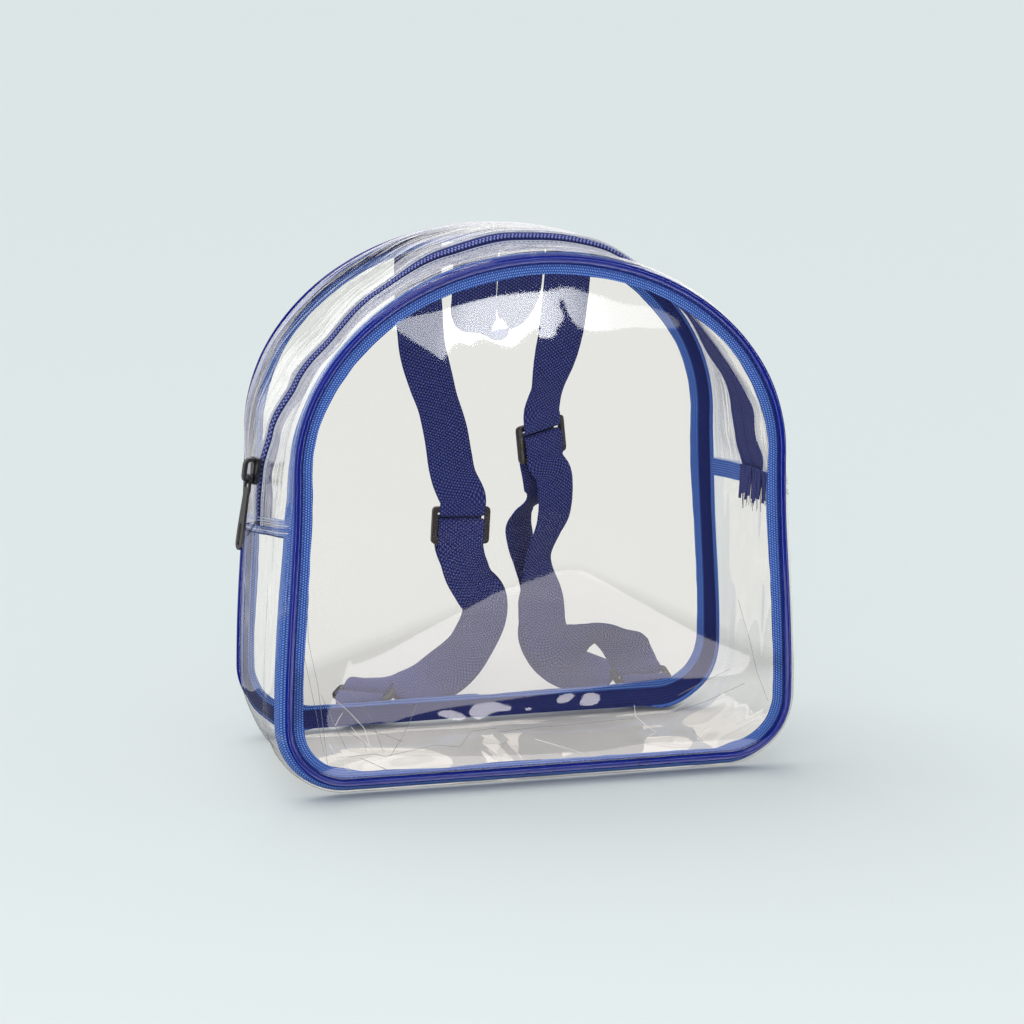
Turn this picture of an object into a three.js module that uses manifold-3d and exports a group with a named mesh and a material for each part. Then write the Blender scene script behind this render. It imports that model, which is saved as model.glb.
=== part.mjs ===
// Clear stadium backpack with coloured piping, standing upright.
// Units are millimetres, +Z is up. The zipped front panel faces -Y, the shoulder
// straps hang behind the back panel on the +Y side.
// While the pieces are made, X = 0 is the middle of the bag, Y = 0 is the plane of the
// front piping, and Z = 0 is the floor. At the end the whole bag is moved so that the
// origin is the middle of its footprint.
import * as THREE from 'three';
import Module from 'manifold-3d';
import { mergeVertices } from 'three/addons/utils/BufferGeometryUtils.js';

const wasm = await Module();
wasm.setup();

// ---------------------------------------------------------------- driving sizes
const DEPTH = 150;            // front piping to back piping
const HALF_BASE = 153.5;      // half width of the panels at their widest, low down
const HALF_SHOULDER = 147;    // half width where the arch starts
const ARCH_START = 185;       // height of the arch's start above the bottom piping
const PANEL_TOP = 306;        // height of the top of the arch above the bottom piping
const CORNER_R = 36;          // bottom corner radius of the panels
const FOOT = 9.5;             // the bottom gusset stands this far below the piping
const SHEET = 1.0;            // wall of the clear sheet
const GAP = 0.3;              // air left between neighbouring pieces
const BEAD_R = 2.2;           // piping bead
const PANEL_INSET = 2.5;      // panel edge to piping centre
const PANEL_CROWN = 2.5;      // how far the panels belly out
const EDGE_ROUND = 16;        // depth over which the gusset rounds away from the piping
const TAPE = 0.9;             // woven binding and zip tape
const BIND_PANEL_LEG = 9;     // binding seen on the panel side
const BIND_GUSSET_LEG = 10.5; // binding seen on the gusset side
const ZIP_Y = 75;             // zip line, half way back
const ZIP_OPEN_HALF = 7;      // clear strips stop this far from the zip line
const ZIP_TAPE_HALF = 16;     // zip tape edge from the zip line
const COIL_W = 6;             // zip coil
const SEAM_W = 0.548;         // side seams, as a fraction of the way from bottom to top
const SEAM_TAPE_HALF = 5.5;   // half width of the tape over each side seam
const WEB = 30;               // strap webbing
const WEB_T = 1.5;
const SLIDE_W = 38, SLIDE_H = 24, SLIDE_T = 3, SLIDE_BAR = 3.6;   // tri-glides
const RING_W = 38, RING_H = 18, RING_T = 3;                       // strap rings

// ---------------------------------------------------------------- panel outline
// w runs once round the panel: 0 bottom middle, 1 top middle, 2 back at the bottom.
const flatLen = HALF_BASE - CORNER_R;
const cornerLen = CORNER_R * Math.PI / 2;
const sideLen = ARCH_START - CORNER_R;
const archH = PANEL_TOP - ARCH_START;
const ARCH_STEPS = 240;
const archTable = [{ len: 0, x: HALF_SHOULDER, z: ARCH_START }];
for (let i = 1; i <= ARCH_STEPS; i++) {
  const a = (i / ARCH_STEPS) * Math.PI / 2;
  const p = { x: HALF_SHOULDER * Math.cos(a), z: ARCH_START + archH * Math.sin(a) };
  const q = archTable[i - 1];
  archTable.push({ len: q.len + Math.hypot(p.x - q.x, p.z - q.z), ...p });
}
const archLen = archTable[ARCH_STEPS].len;
const HALF_LEN = flatLen + cornerLen + sideLen + archLen;

function halfOutline(s) {          // s from 0 (bottom middle) to HALF_LEN (top middle)
  if (s <= flatLen) return [s, 0];
  s -= flatLen;
  if (s <= cornerLen) {
    const a = s / CORNER_R;
    return [flatLen + CORNER_R * Math.sin(a), CORNER_R - CORNER_R * Math.cos(a)];
  }
  s -= cornerLen;
  if (s <= sideLen) {              // the sides lean in a little, mostly high up
    const k = s / sideLen;
    return [HALF_BASE + (HALF_SHOULDER - HALF_BASE) * k * k * (3 - 2 * k), CORNER_R + s];
  }
  s -= sideLen;
  let i = 1;
  while (i < ARCH_STEPS && archTable[i].len < s) i++;
  const a = archTable[i - 1], b = archTable[i], k = (s - a.len) / (b.len - a.len);
  return [a.x + (b.x - a.x) * k, a.z + (b.z - a.z) * k];
}
function outline(w) {
  w = ((w % 2) + 2) % 2;
  const right = w <= 1;
  const [x, z] = halfOutline((right ? w : 2 - w) * HALF_LEN);
  return [right ? x : -x, z + FOOT];
}
function outlineNormal(w) {
  const e = 0.002, a = outline(w - e), b = outline(w + e);
  const dx = b[0] - a[0], dz = b[1] - a[1], l = Math.hypot(dx, dz);
  return [dz / l, -dx / l];
}

// ---------------------------------------------------------------- gusset form
// How far the clear gusset stands outside the piping line: "front" and "back" just inside
// either piping, "mid" half way back. The left shoulder is pressed in, the sides belly out.
const GUSSET_FORM = [
  { at: 'bottom middle', w: 0.000, front: 9.5, back: 9.5, mid: 9.5 },
  { at: 'right end of base', w: 0.2198, front: 9.5, back: 9.5, mid: 9.5 },
  { at: 'right corner', w: 0.270, front: 8.5, back: 7.0, mid: 7.5 },
  { at: 'right corner top', w: 0.3255, front: 8.0, back: 5.0, mid: 6.5 },
  { at: 'right side', w: 0.464, front: 8.0, back: 4.0, mid: 8.0 },
  { at: 'right seam', w: 0.548, front: 7.5, back: 4.5, mid: 9.0 },
  { at: 'right above seam', w: 0.628, front: 4.5, back: 4.5, mid: 3.0 },
  { at: 'right shoulder', w: 0.710, front: 4.5, back: 4.5, mid: -4.5 },
  { at: 'right crown', w: 0.800, front: 4.5, back: 4.5, mid: -1.0 },
  { at: 'top right', w: 0.900, front: 4.5, back: 4.5, mid: 4.5 },
  { at: 'top middle', w: 1.000, front: 4.5, back: 4.5, mid: 3.5 },
  { at: 'top left', w: 1.080, front: 4.5, back: 4.5, mid: -0.5 },
  { at: 'left crown', w: 1.170, front: 3.5, back: 3.5, mid: -5.0 },
  { at: 'left dent', w: 1.246, front: 3.0, back: 3.0, mid: -9.0 },
  { at: 'left shoulder', w: 1.312, front: 3.5, back: 3.5, mid: -5.0 },
  { at: 'left above seam', w: 1.372, front: 4.5, back: 4.5, mid: 2.0 },
  { at: 'at the slider', w: 1.416, front: 6.0, back: 4.5, mid: 6.5 },
  { at: 'left seam', w: 1.452, front: 7.5, back: 3.5, mid: 8.0 },
  { at: 'left side', w: 1.536, front: 8.5, back: 2.0, mid: 7.5 },
  { at: 'left corner top', w: 1.6745, front: 8.5, back: 2.0, mid: 6.5 },
  { at: 'left corner', w: 1.730, front: 9.0, back: 5.0, mid: 7.5 },
  { at: 'left end of base', w: 1.7802, front: 9.5, back: 9.5, mid: 9.5 },
  { at: 'bottom middle again', w: 2.000, front: 9.5, back: 9.5, mid: 9.5 },
];
function smoothRow(rows, key, col, t) {
  let i = 1;
  while (i < rows.length - 1 && rows[i][key] < t) i++;
  const a = rows[i - 1], b = rows[i];
  const k = Math.min(Math.max((t - a[key]) / (b[key] - a[key]), 0), 1);
  return a[col] + (b[col] - a[col]) * k * k * (3 - 2 * k);
}
function rise(w, y) {              // outward distance from the piping line
  w = ((w % 2) + 2) % 2;
  const edge = smoothRow(GUSSET_FORM, 'w', y > DEPTH / 2 ? 'back' : 'front', w), mid = smoothRow(GUSSET_FORM, 'w', 'mid', w);
  const d = Math.min(y, DEPTH - y);
  const crown = d >= EDGE_ROUND ? 1 : Math.sqrt(Math.max(0, 1 - (1 - d / EDGE_ROUND) ** 2));
  const k = Math.min(Math.max((d - 8) / (ZIP_Y - ZIP_TAPE_HALF - 8), 0), 1);
  return edge * crown + (mid - edge) * k * k * (3 - 2 * k);
}
// The side seams slope: each lies "lower" mm below its place at the front and falls "fall"
// mm more for each mm further back; the sheet beside it is carried along.
const SEAM_LINE = { right: { lower: -8.8, fall: 0.10 }, left: { lower: 0.8, fall: 0.18 } };
const SEAM_REACH = 45;
function slid(w, y) {
  w = ((w % 2) + 2) % 2;
  const right = w <= 1, line = right ? SEAM_LINE.right : SEAM_LINE.left;
  const off = (w - (right ? SEAM_W : 2 - SEAM_W)) * HALF_LEN;
  const drop = (line.lower + line.fall * y) * Math.exp(-((off / SEAM_REACH) ** 2)) / HALF_LEN;
  return right ? w - drop : w + drop;
}
function gussetStart(w, back) {    // first depth at which the gusset clears the bead
  let y = 0.3;
  const at = d => (back ? DEPTH - d : d);
  while (Math.hypot(y, rise(slid(w, at(y)), at(y))) < BEAD_R + GAP + 0.15 && y < 6) y += 0.05;
  return y;
}
// A point "depth" below the gusset's outside face, at w round the outline and y back.
function surfacePoint(w, y, depth) {
  const e = 0.05, slope = (rise(w, y + e) - rise(w, y - e)) / (2 * e);
  const l = Math.hypot(1, slope);
  const n = rise(w, y) - depth / l, yy = y + depth * slope / l;
  const [x, z] = outline(w), [nx, nz] = outlineNormal(w);
  return [x + nx * n, yy, z + nz * n];
}
const gussetPoint = (w, y, depth) => surfacePoint(slid(w, y), y, depth);

// ---------------------------------------------------------------- mesh helpers
function makeGeometry(points, faces) {
  const g = new THREE.BufferGeometry();
  g.setAttribute('position', new THREE.Float32BufferAttribute(points.flat(), 3));
  g.setIndex(faces.flat());
  return g;
}
// A solid from a row of like polygons; "closed" joins the last section to the first.
function loft(sections, closed) {
  const n = sections[0].length, m = sections.length, faces = [];
  const id = (i, j) => (i % m) * n + (j % n);
  for (let i = 0; i < (closed ? m : m - 1); i++)
    for (let j = 0; j < n; j++)
      faces.push([id(i, j), id(i + 1, j), id(i + 1, j + 1)], [id(i, j), id(i + 1, j + 1), id(i, j + 1)]);
  if (!closed)
    for (let j = 1; j < n - 1; j++) {
      if (sections[0].fan === 'strip') continue;
      faces.push([id(0, 0), id(0, j), id(0, j + 1)], [id(m - 1, 0), id(m - 1, j + 1), id(m - 1, j)]);
    }
  if (!closed && sections[0].fan === 'strip') {
    const h = n / 2;               // outer row 0..h-1, inner row back from h to n-1
    for (let j = 0; j < h - 1; j++) {
      const a = j, b = j + 1, c = n - 2 - j, d = n - 1 - j;
      faces.push([id(0, a), id(0, b), id(0, c)], [id(0, a), id(0, c), id(0, d)]);
      faces.push([id(m - 1, a), id(m - 1, c), id(m - 1, b)], [id(m - 1, a), id(m - 1, d), id(m - 1, c)]);
    }
  }
  return outwards(makeGeometry(sections.flat(), faces));
}
function volume(g) {
  const p = g.getAttribute('position'), ix = g.getIndex().array;
  const a = new THREE.Vector3(), b = new THREE.Vector3(), c = new THREE.Vector3();
  let v = 0;
  for (let i = 0; i < ix.length; i += 3) {
    a.fromBufferAttribute(p, ix[i]); b.fromBufferAttribute(p, ix[i + 1]); c.fromBufferAttribute(p, ix[i + 2]);
    v += a.dot(b.cross(c)) / 6;
  }
  return v;
}
function outwards(g) {
  if (volume(g) < 0) {
    const ix = g.getIndex().array;
    for (let i = 0; i < ix.length; i += 3) [ix[i + 1], ix[i + 2]] = [ix[i + 2], ix[i + 1]];
  }
  g.computeVertexNormals();
  return g;
}
function toManifold(g) {
  const bare = g.clone();
  bare.deleteAttribute('normal');
  if (bare.getAttribute('uv')) bare.deleteAttribute('uv');
  const m = mergeVertices(bare, 1e-4);
  return new wasm.Manifold(new wasm.Mesh({
    numProp: 3,
    vertProperties: new Float32Array(m.getAttribute('position').array),
    triVerts: new Uint32Array(m.getIndex().array),
  }));
}
function fromManifold(m) {
  const r = m.getMesh(), g = new THREE.BufferGeometry();
  g.setAttribute('position', new THREE.BufferAttribute(new Float32Array(r.vertProperties), 3));
  g.setIndex(new THREE.BufferAttribute(new Uint32Array(r.triVerts), 1));
  g.computeVertexNormals();
  return g;
}

// ---------------------------------------------------------------- stations round the outline
const spread = (from, to, n) => Array.from({ length: n + 1 }, (_, i) => from + (to - from) * i / n);
const W_CORNER = flatLen / HALF_LEN, W_SIDE = (flatLen + cornerLen) / HALF_LEN;
const W_ARCH = (flatLen + cornerLen + sideLen) / HALF_LEN;
const TAPE_SPAN = SEAM_TAPE_HALF / HALF_LEN;
const halfStations = [
  0, ...spread(W_CORNER, W_SIDE, 6), ...spread(W_SIDE, SEAM_W - TAPE_SPAN, 3).slice(1), SEAM_W + TAPE_SPAN,
  ...spread(W_ARCH, 1, 12),
];
const allStations = [...halfStations, ...halfStations.slice(1, -1).reverse().map(w => 2 - w)];
const between = (from, to) => [from, ...allStations.filter(w => w > from + 0.004 && w < to - 0.004), to];
const TOP_SPAN = between(SEAM_W + 0.0004, 2 - SEAM_W - 0.0004);
const bottomStations = [2 - SEAM_W + 0.0004, ...allStations.filter(w => w > 2 - SEAM_W + 0.004),
  ...allStations.filter(w => w < SEAM_W - 0.004).map(w => w + 2), 2 + SEAM_W - 0.0004];

// A strip of the gusset: ys front to back, from depth d0 (outside) to d1 (inside).
function gussetStrip(stations, ys, d0, d1) {
  return loft(stations.map(w => {
    const row = typeof ys === 'function' ? ys(w) : ys;
    const s = [...row.map(y => gussetPoint(w, y, d0)), ...row.slice().reverse().map(y => gussetPoint(w, y, d1))];
    s.fan = 'strip';
    return s;
  }), false);
}

// ---------------------------------------------------------------- materials
const clear = () => new THREE.MeshStandardMaterial({ color: 0xe9ebea, roughness: 0.08, metalness: 0, transparent: true, opacity: 0.25 });
const vinyl = () => new THREE.MeshStandardMaterial({ color: 0x1b2390, roughness: 0.25, metalness: 0 });
const woven = () => new THREE.MeshStandardMaterial({ color: 0x2a4bb8, roughness: 0.85, metalness: 0 });
const zipBlue = () => new THREE.MeshStandardMaterial({ color: 0x1a1f6e, roughness: 0.8, metalness: 0 });
const webbing = () => new THREE.MeshStandardMaterial({ color: 0x28358f, roughness: 0.9, metalness: 0 });
const blackMetal = () => new THREE.MeshStandardMaterial({ color: 0x17171a, roughness: 0.35, metalness: 0.8 });
const blackPlastic = () => new THREE.MeshStandardMaterial({ color: 0x18181a, roughness: 0.5, metalness: 0 });

const bag = new THREE.Group();
function add(name, geometry, material, parent = bag) {
  const mesh = new THREE.Mesh(geometry, material);
  mesh.name = name;
  parent.add(mesh);
  return mesh;
}

// ---------------------------------------------------------------- clear panels
const PANEL_RINGS = [1, 0.8, 0.4];
function panel(side) {             // side -1 front, +1 back; local Y = 0 in the piping plane
  const midZ = FOOT + 150, points = [], faces = [];
  const n = allStations.length;
  for (const face of [-1, 1])
    for (const k of PANEL_RINGS)
      for (const w of allStations) {
        const [x, z] = outline(w), [nx, nz] = outlineNormal(w);
        const px = (x - nx * PANEL_INSET) * k, pz = midZ + (z - nz * PANEL_INSET - midZ) * k;
        points.push([px, side * PANEL_CROWN * (1 - k * k) + face * SHEET / 2, pz]);
      }
  const id = (f, r, i) => (f * PANEL_RINGS.length + r) * n + (i % n);
  const centre = [points.length, points.length + 1];
  points.push([0, side * PANEL_CROWN - SHEET / 2, midZ], [0, side * PANEL_CROWN + SHEET / 2, midZ]);
  const last = PANEL_RINGS.length - 1;
  for (let i = 0; i < n; i++) {
    for (let f = 0; f < 2; f++) {
      const flip = f === 0 ? t => t : t => [t[0], t[2], t[1]];
      for (let r = 0; r < last; r++)
        faces.push(flip([id(f, r, i), id(f, r, i + 1), id(f, r + 1, i + 1)]), flip([id(f, r, i), id(f, r + 1, i + 1), id(f, r + 1, i)]));
      faces.push(flip([id(f, last, i), id(f, last, i + 1), centre[f]]));
    }
    faces.push([id(0, 0, i), id(1, 0, i), id(1, 0, i + 1)], [id(0, 0, i), id(1, 0, i + 1), id(0, 0, i + 1)]);
  }
  return outwards(makeGeometry(points, faces));
}
add('front_panel', panel(-1), clear());
add('back_panel', panel(1), clear()).position.set(0, DEPTH, 0);

// ---------------------------------------------------------------- clear gussets
const halfDepth = (w, back) => { const a = gussetStart(w, back); return [a, a + 2, 6.5, 12, 30, 45, ZIP_Y - ZIP_TAPE_HALF]; };
const fromBack = ys => ys.reverse().map(y => DEPTH - y);
const fullDepth = w => [...halfDepth(w, false), ...fromBack(halfDepth(w, true))];
const frontDepth = w => [...halfDepth(w, false), ZIP_Y - ZIP_OPEN_HALF];
const backDepth = w => fromBack([...halfDepth(w, true), ZIP_Y - ZIP_OPEN_HALF]);
add('gusset_bottom', gussetStrip(bottomStations, fullDepth, 0, SHEET), clear());
add('gusset_top_front', gussetStrip(TOP_SPAN, frontDepth, 0, SHEET), clear());
add('gusset_top_back', gussetStrip(TOP_SPAN, backDepth, 0, SHEET), clear());

// ---------------------------------------------------------------- piping and binding
function aroundLoop(section) {     // section(w) gives [y, n] pairs in the plane across the loop
  return loft(allStations.map(w => {
    const [x, z] = outline(w), [nx, nz] = outlineNormal(w);
    return section(w).map(([y, n]) => [x + nx * n, y, z + nz * n]);
  }), true);
}
const beadSection = spread(0, 1, 6).slice(0, 6).map(t => [BEAD_R * Math.cos(t * 2 * Math.PI), BEAD_R * Math.sin(t * 2 * Math.PI)]);
const pipe = () => aroundLoop(() => beadSection);
add('piping_front', pipe(), vinyl());
add('piping_back', pipe(), vinyl()).position.set(0, DEPTH, 0);

// Woven binding over the seam allowances inside the corner: one leg on the panel, one on the gusset.
function sectionPoint(w, y, depth, back) {
  const at = d => rise(w, back ? DEPTH - d : d);
  const e = 0.05, slope = (at(y + e) - at(y - e)) / (2 * e), l = Math.hypot(1, slope);
  return [y + depth * slope / l, at(y) - depth / l];
}
const BIND_OUT = SHEET + GAP + 0.85, BIND_IN = BIND_OUT + TAPE;
function bindingSection(w, back) {
  const inner = SHEET / 2 + GAP;
  return [
    [inner, -BIND_PANEL_LEG], [inner, -BEAD_R - 0.8], [inner + 1.9, -0.9],
    sectionPoint(w, 4.4, BIND_OUT, back), sectionPoint(w, BIND_GUSSET_LEG, BIND_OUT, back),
    sectionPoint(w, BIND_GUSSET_LEG, BIND_IN, back), sectionPoint(w, 5.6, BIND_IN, back),
    [inner + 2.9, -1.4], [inner + TAPE, -BEAD_R - 1.4], [inner + TAPE, -BIND_PANEL_LEG],
  ];
}
const binding = flip => aroundLoop(w => bindingSection(w, flip).map(([y, n]) => flip ? [DEPTH - y, n] : [y, n]));
add('binding_front', binding(false), woven());
add('binding_back', binding(true), woven());

// ---------------------------------------------------------------- zip over the arch
const tapeTop = SHEET + GAP + 0.05, tapeLow = tapeTop + TAPE;
add('zip_tape_front', gussetStrip(TOP_SPAN, [ZIP_Y - ZIP_TAPE_HALF, ZIP_Y - 0.2], tapeTop, tapeLow), zipBlue());
add('zip_tape_back', gussetStrip(TOP_SPAN, [ZIP_Y + 0.2, ZIP_Y + ZIP_TAPE_HALF], tapeTop, tapeLow), zipBlue());
add('zip_coil', gussetStrip(TOP_SPAN, [ZIP_Y - COIL_W / 2, ZIP_Y + COIL_W / 2], -0.9, tapeTop - GAP - 0.05), zipBlue());

// Woven tape over the two side seams, inside the bag.
const LOW = tapeLow + GAP + 0.1, seamYs = [11.6, 30, 45, 59, 91, 105, 120, DEPTH - 11.6];
for (const [name, w] of [['seam_tape_right', SEAM_W], ['seam_tape_left', 2 - SEAM_W]]) {
  add(name, gussetStrip([w - TAPE_SPAN, w, w + TAPE_SPAN], seamYs, LOW, LOW + TAPE), woven());
}

// ---------------------------------------------------------------- zip slider and puller
// Local frame at the slider: +X straight out of the bag, +Z up along the zip, +Y across it.
const SLIDER_W = 1.416;           // place round the outline, low on the left side
const SLIDER_TILT = 8;            // the zip leans out at its foot, degrees
const SLIDER_ROLL = 10;           // the slider's face turns a little to the front, degrees
const SLIDER_LIFT = 2.7;          // its plate stands this far outside the clear strip
const PLATE = { w: 12, h: 16, t: 2.2 };
const BRIDGE = { out: 8.2, h: 15.5, wire: 2.2, w: 3.2 };
const PULL = { w: 9, t: 1.6, len: 44.5, bar: 1.3, eye: 6.4, eyeW: 5.2, slotW: 3.6, slotLen: 15, rim: 2.6 };
const LEAN = 9;                   // the puller rests on the bulging side, degrees from vertical

function plateShape() {           // shield outline, wide at the top, seen from outside
  const s = new THREE.Shape(), a = PLATE.w / 2, b = PLATE.h / 2;
  s.moveTo(-a, b - 2); s.quadraticCurveTo(-a, b, -a + 2, b); s.lineTo(a - 2, b);
  s.quadraticCurveTo(a, b, a, b - 2); s.lineTo(a * 0.62, -b + 1.5);
  s.quadraticCurveTo(a * 0.55, -b, a * 0.3, -b); s.lineTo(-a * 0.3, -b);
  s.quadraticCurveTo(-a * 0.55, -b, -a * 0.62, -b + 1.5);
  return s;
}
function stadium(path, cx, cy, w, h, steps = 6) {   // upright oval, w wide and h tall
  const r = w / 2, k = h / 2 - r;
  const pts = [];
  for (let i = 0; i <= steps; i++) { const a = Math.PI * i / steps; pts.push([cx + r * Math.cos(a), cy + k + r * Math.sin(a)]); }
  for (let i = 0; i <= steps; i++) { const a = Math.PI + Math.PI * i / steps; pts.push([cx + r * Math.cos(a), cy - k + r * Math.sin(a)]); }
  path.moveTo(...pts[0]); pts.slice(1).forEach(p => path.lineTo(...p)); path.closePath();
  return path;
}
// plate: drawn in (Y, Z), pushed out along X
const plate = new THREE.ExtrudeGeometry(plateShape(), { depth: PLATE.t, bevelEnabled: false, curveSegments: 3 });
plate.applyMatrix4(new THREE.Matrix4().makeBasis(new THREE.Vector3(0, 1, 0), new THREE.Vector3(0, 0, 1), new THREE.Vector3(1, 0, 0)));
// bridge: an upright oval loop in the (X, Z) plane, open across the zip
const bridgeShape = stadium(new THREE.Shape(), PLATE.t - 1.6 + BRIDGE.out / 2, 0, BRIDGE.out, BRIDGE.h);
bridgeShape.holes.push(stadium(new THREE.Path(), PLATE.t - 1.6 + BRIDGE.out / 2, 0, BRIDGE.out - 2 * BRIDGE.wire, BRIDGE.h - 2 * BRIDGE.wire));
const bridge = new THREE.ExtrudeGeometry(bridgeShape, { depth: BRIDGE.w, bevelEnabled: false });
bridge.applyMatrix4(new THREE.Matrix4().makeBasis(new THREE.Vector3(1, 0, 0), new THREE.Vector3(0, 0, 1), new THREE.Vector3(0, -1, 0)).setPosition(0, BRIDGE.w / 2, 0));
const sliderGeometry = fromManifold(toManifold(plate).add(toManifold(bridge)));

const seat = new THREE.Group();
const seatPoint = surfacePoint(SLIDER_W, ZIP_Y, -SLIDER_LIFT);
seat.position.set(...seatPoint);
seat.rotation.set(0, THREE.MathUtils.degToRad(-SLIDER_TILT), THREE.MathUtils.degToRad(180 + SLIDER_ROLL), 'ZYX');
bag.add(seat);
add('zip_slider', sliderGeometry, blackMetal(), seat);

// The puller hangs from the lower round of the bridge; its top bar is the hinge.
const hinge = new THREE.Group();
const hingeX = PLATE.t - 1.6 + BRIDGE.out / 2, hingeZ = -(BRIDGE.h / 2 - BRIDGE.out / 2);
hinge.position.set(hingeX, 0, hingeZ);
hinge.rotation.y = THREE.MathUtils.degToRad(SLIDER_TILT - LEAN);
seat.add(hinge);
const pullShape = new THREE.Shape(), pw = PULL.w / 2;
pullShape.moveTo(-pw * 0.8, PULL.bar); pullShape.lineTo(pw * 0.8, PULL.bar); pullShape.lineTo(pw * 0.92, 0);
pullShape.lineTo(pw * 0.92, -8); pullShape.lineTo(pw * 0.72, -11); pullShape.lineTo(pw, -PULL.len + 14);
for (let i = 0; i <= 6; i++) { const a = -Math.PI * i / 6; pullShape.lineTo(pw * Math.cos(a), -PULL.len + pw + pw * Math.sin(a)); }
pullShape.lineTo(-pw, -PULL.len + 14); pullShape.lineTo(-pw * 0.72, -11); pullShape.lineTo(-pw * 0.92, -8); pullShape.lineTo(-pw * 0.92, 0);
pullShape.closePath();
const eye = new THREE.Path();
eye.moveTo(-PULL.eyeW / 2, -PULL.bar); eye.lineTo(-PULL.eyeW / 2, -PULL.eye); eye.lineTo(PULL.eyeW / 2, -PULL.eye); eye.lineTo(PULL.eyeW / 2, -PULL.bar); eye.closePath();
pullShape.holes.push(eye, stadium(new THREE.Path(), 0, -PULL.len + PULL.rim + PULL.slotLen / 2, PULL.slotW, PULL.slotLen, 4));
const pull = new THREE.ExtrudeGeometry(pullShape, { depth: PULL.t, bevelEnabled: false });
pull.applyMatrix4(new THREE.Matrix4().makeBasis(new THREE.Vector3(0, 1, 0), new THREE.Vector3(0, 0, 1), new THREE.Vector3(1, 0, 0)).setPosition(-PULL.t / 2, 0, 0));
add('zip_puller', pull, blackMetal(), hinge);

// ---------------------------------------------------------------- webbing
// A strip follows rows of { x, y, z, lean, yaw }: lean turns its width in the X-Z plane,
// yaw turns its right edge back (+) or forward (-).
const rad = THREE.MathUtils.degToRad;
const across = (lean, yaw) => new THREE.Vector3(Math.cos(rad(yaw)) * Math.cos(rad(lean)), Math.sin(rad(yaw)), Math.cos(rad(yaw)) * Math.sin(rad(lean)));
const frameOf = r => ({ p: new THREE.Vector3(r.x, r.y, r.z), w: across(r.lean, r.yaw), sewn: r.sewn });
function webStrip(frames, width, thick) {
  const sections = [];
  for (let i = 0; i < frames.length; i++) {
    const a = frames[Math.max(i - 1, 0)].p, b = frames[Math.min(i + 1, frames.length - 1)].p;
    const t = b.clone().sub(a).normalize();
    const w = frames[i].w.clone().addScaledVector(t, frames[i].sewn ? 0 : -frames[i].w.dot(t)).normalize();
    const n = t.clone().cross(w).normalize();
    const c = (sw, sn) => frames[i].p.clone().addScaledVector(w, sw * width / 2).addScaledVector(n, sn * thick / 2).toArray();
    sections.push([c(-1, -1), c(1, -1), c(1, 1), c(-1, 1)]);
  }
  return loft(sections, false);
}
function smoothFrames(frames, per) {   // Catmull-Rom through the frames
  const curve = new THREE.CatmullRomCurve3(frames.map(f => f.p), false, 'centripetal');
  const turn = new THREE.CatmullRomCurve3(frames.map(f => f.w), false, 'centripetal');
  const m = (frames.length - 1) * per, out = [];
  for (let i = 0; i <= m; i++) out.push({ p: curve.getPoint(i / m), w: turn.getPoint(i / m).normalize() });
  out[0].sewn = frames[0].sewn; out[m].sewn = frames[frames.length - 1].sewn;   // ends cut along the seam
  return out;
}
// Shifts frames off their own face: by "off" away from the panel side and "slip" sideways.
function shifted(frames, off, slip) {
  return frames.map((f, i) => {
    const t = frames[Math.min(i + 1, frames.length - 1)].p.clone().sub(frames[Math.max(i - 1, 0)].p).normalize();
    const w = f.w.clone().addScaledVector(t, -f.w.dot(t)).normalize();
    const n = t.clone().cross(w);
    return { p: f.p.clone().addScaledVector(n, -off).addScaledVector(w, slip), w: f.w.clone() };
  });
}
// A rigid piece's own frame: a across it, h up it, n out of its back.
function localFrame(c, lean, yaw, pitch = 0) {
  const a = across(lean, yaw), up = new THREE.Vector3(0, Math.sin(rad(pitch)), Math.cos(rad(pitch)));
  const h = up.addScaledVector(a, -up.dot(a)).normalize(), n = h.clone().cross(a);
  const c0 = new THREE.Vector3(...c);
  return { a, h, n, c: c0, at: (hh, nn) => ({ p: c0.clone().addScaledVector(h, hh).addScaledVector(n, nn), w: a.clone() }),
    matrix: new THREE.Matrix4().makeBasis(a, h, n.clone().negate()).setPosition(c0) };
}
function roundedRect(path, w, h, r) {
  const x = w / 2, y = h / 2;
  path.moveTo(-x + r, -y); path.lineTo(x - r, -y); path.quadraticCurveTo(x, -y, x, -y + r); path.lineTo(x, y - r);
  path.quadraticCurveTo(x, y, x - r, y); path.lineTo(-x + r, y); path.quadraticCurveTo(-x, y, -x, y - r); path.lineTo(-x, -y + r);
  path.quadraticCurveTo(-x, -y, -x + r, -y);
  return path;
}
function rectHole(w, low, high) {
  const p = new THREE.Path();
  p.moveTo(-w / 2, low); p.lineTo(-w / 2, high); p.lineTo(w / 2, high); p.lineTo(w / 2, low); p.closePath();
  return p;
}
function rigid(name, shape, thick, frame, material) {
  const g = new THREE.ExtrudeGeometry(shape, { depth: thick, bevelEnabled: false, curveSegments: 3 });
  g.translate(0, 0, -thick / 2);
  const mesh = add(name, g, material);
  mesh.applyMatrix4(frame.matrix);
  return mesh;
}
const slotHalf = (SLIDE_W - 2 * 3.2) / 2;
const slideShape = () => {
  const s = roundedRect(new THREE.Shape(), SLIDE_W, SLIDE_H, 3);
  s.holes.push(rectHole(2 * slotHalf, SLIDE_BAR / 2, SLIDE_H / 2 - SLIDE_BAR), rectHole(2 * slotHalf, -SLIDE_H / 2 + SLIDE_BAR, -SLIDE_BAR / 2));
  return s;
};
const ringShape = () => {
  const s = roundedRect(new THREE.Shape(), RING_W, RING_H, 3.6);
  s.holes.push(rectHole(RING_W - 2 * RING_T, -RING_H / 2 + RING_T, RING_H / 2 - RING_T));
  return s;
};

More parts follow.
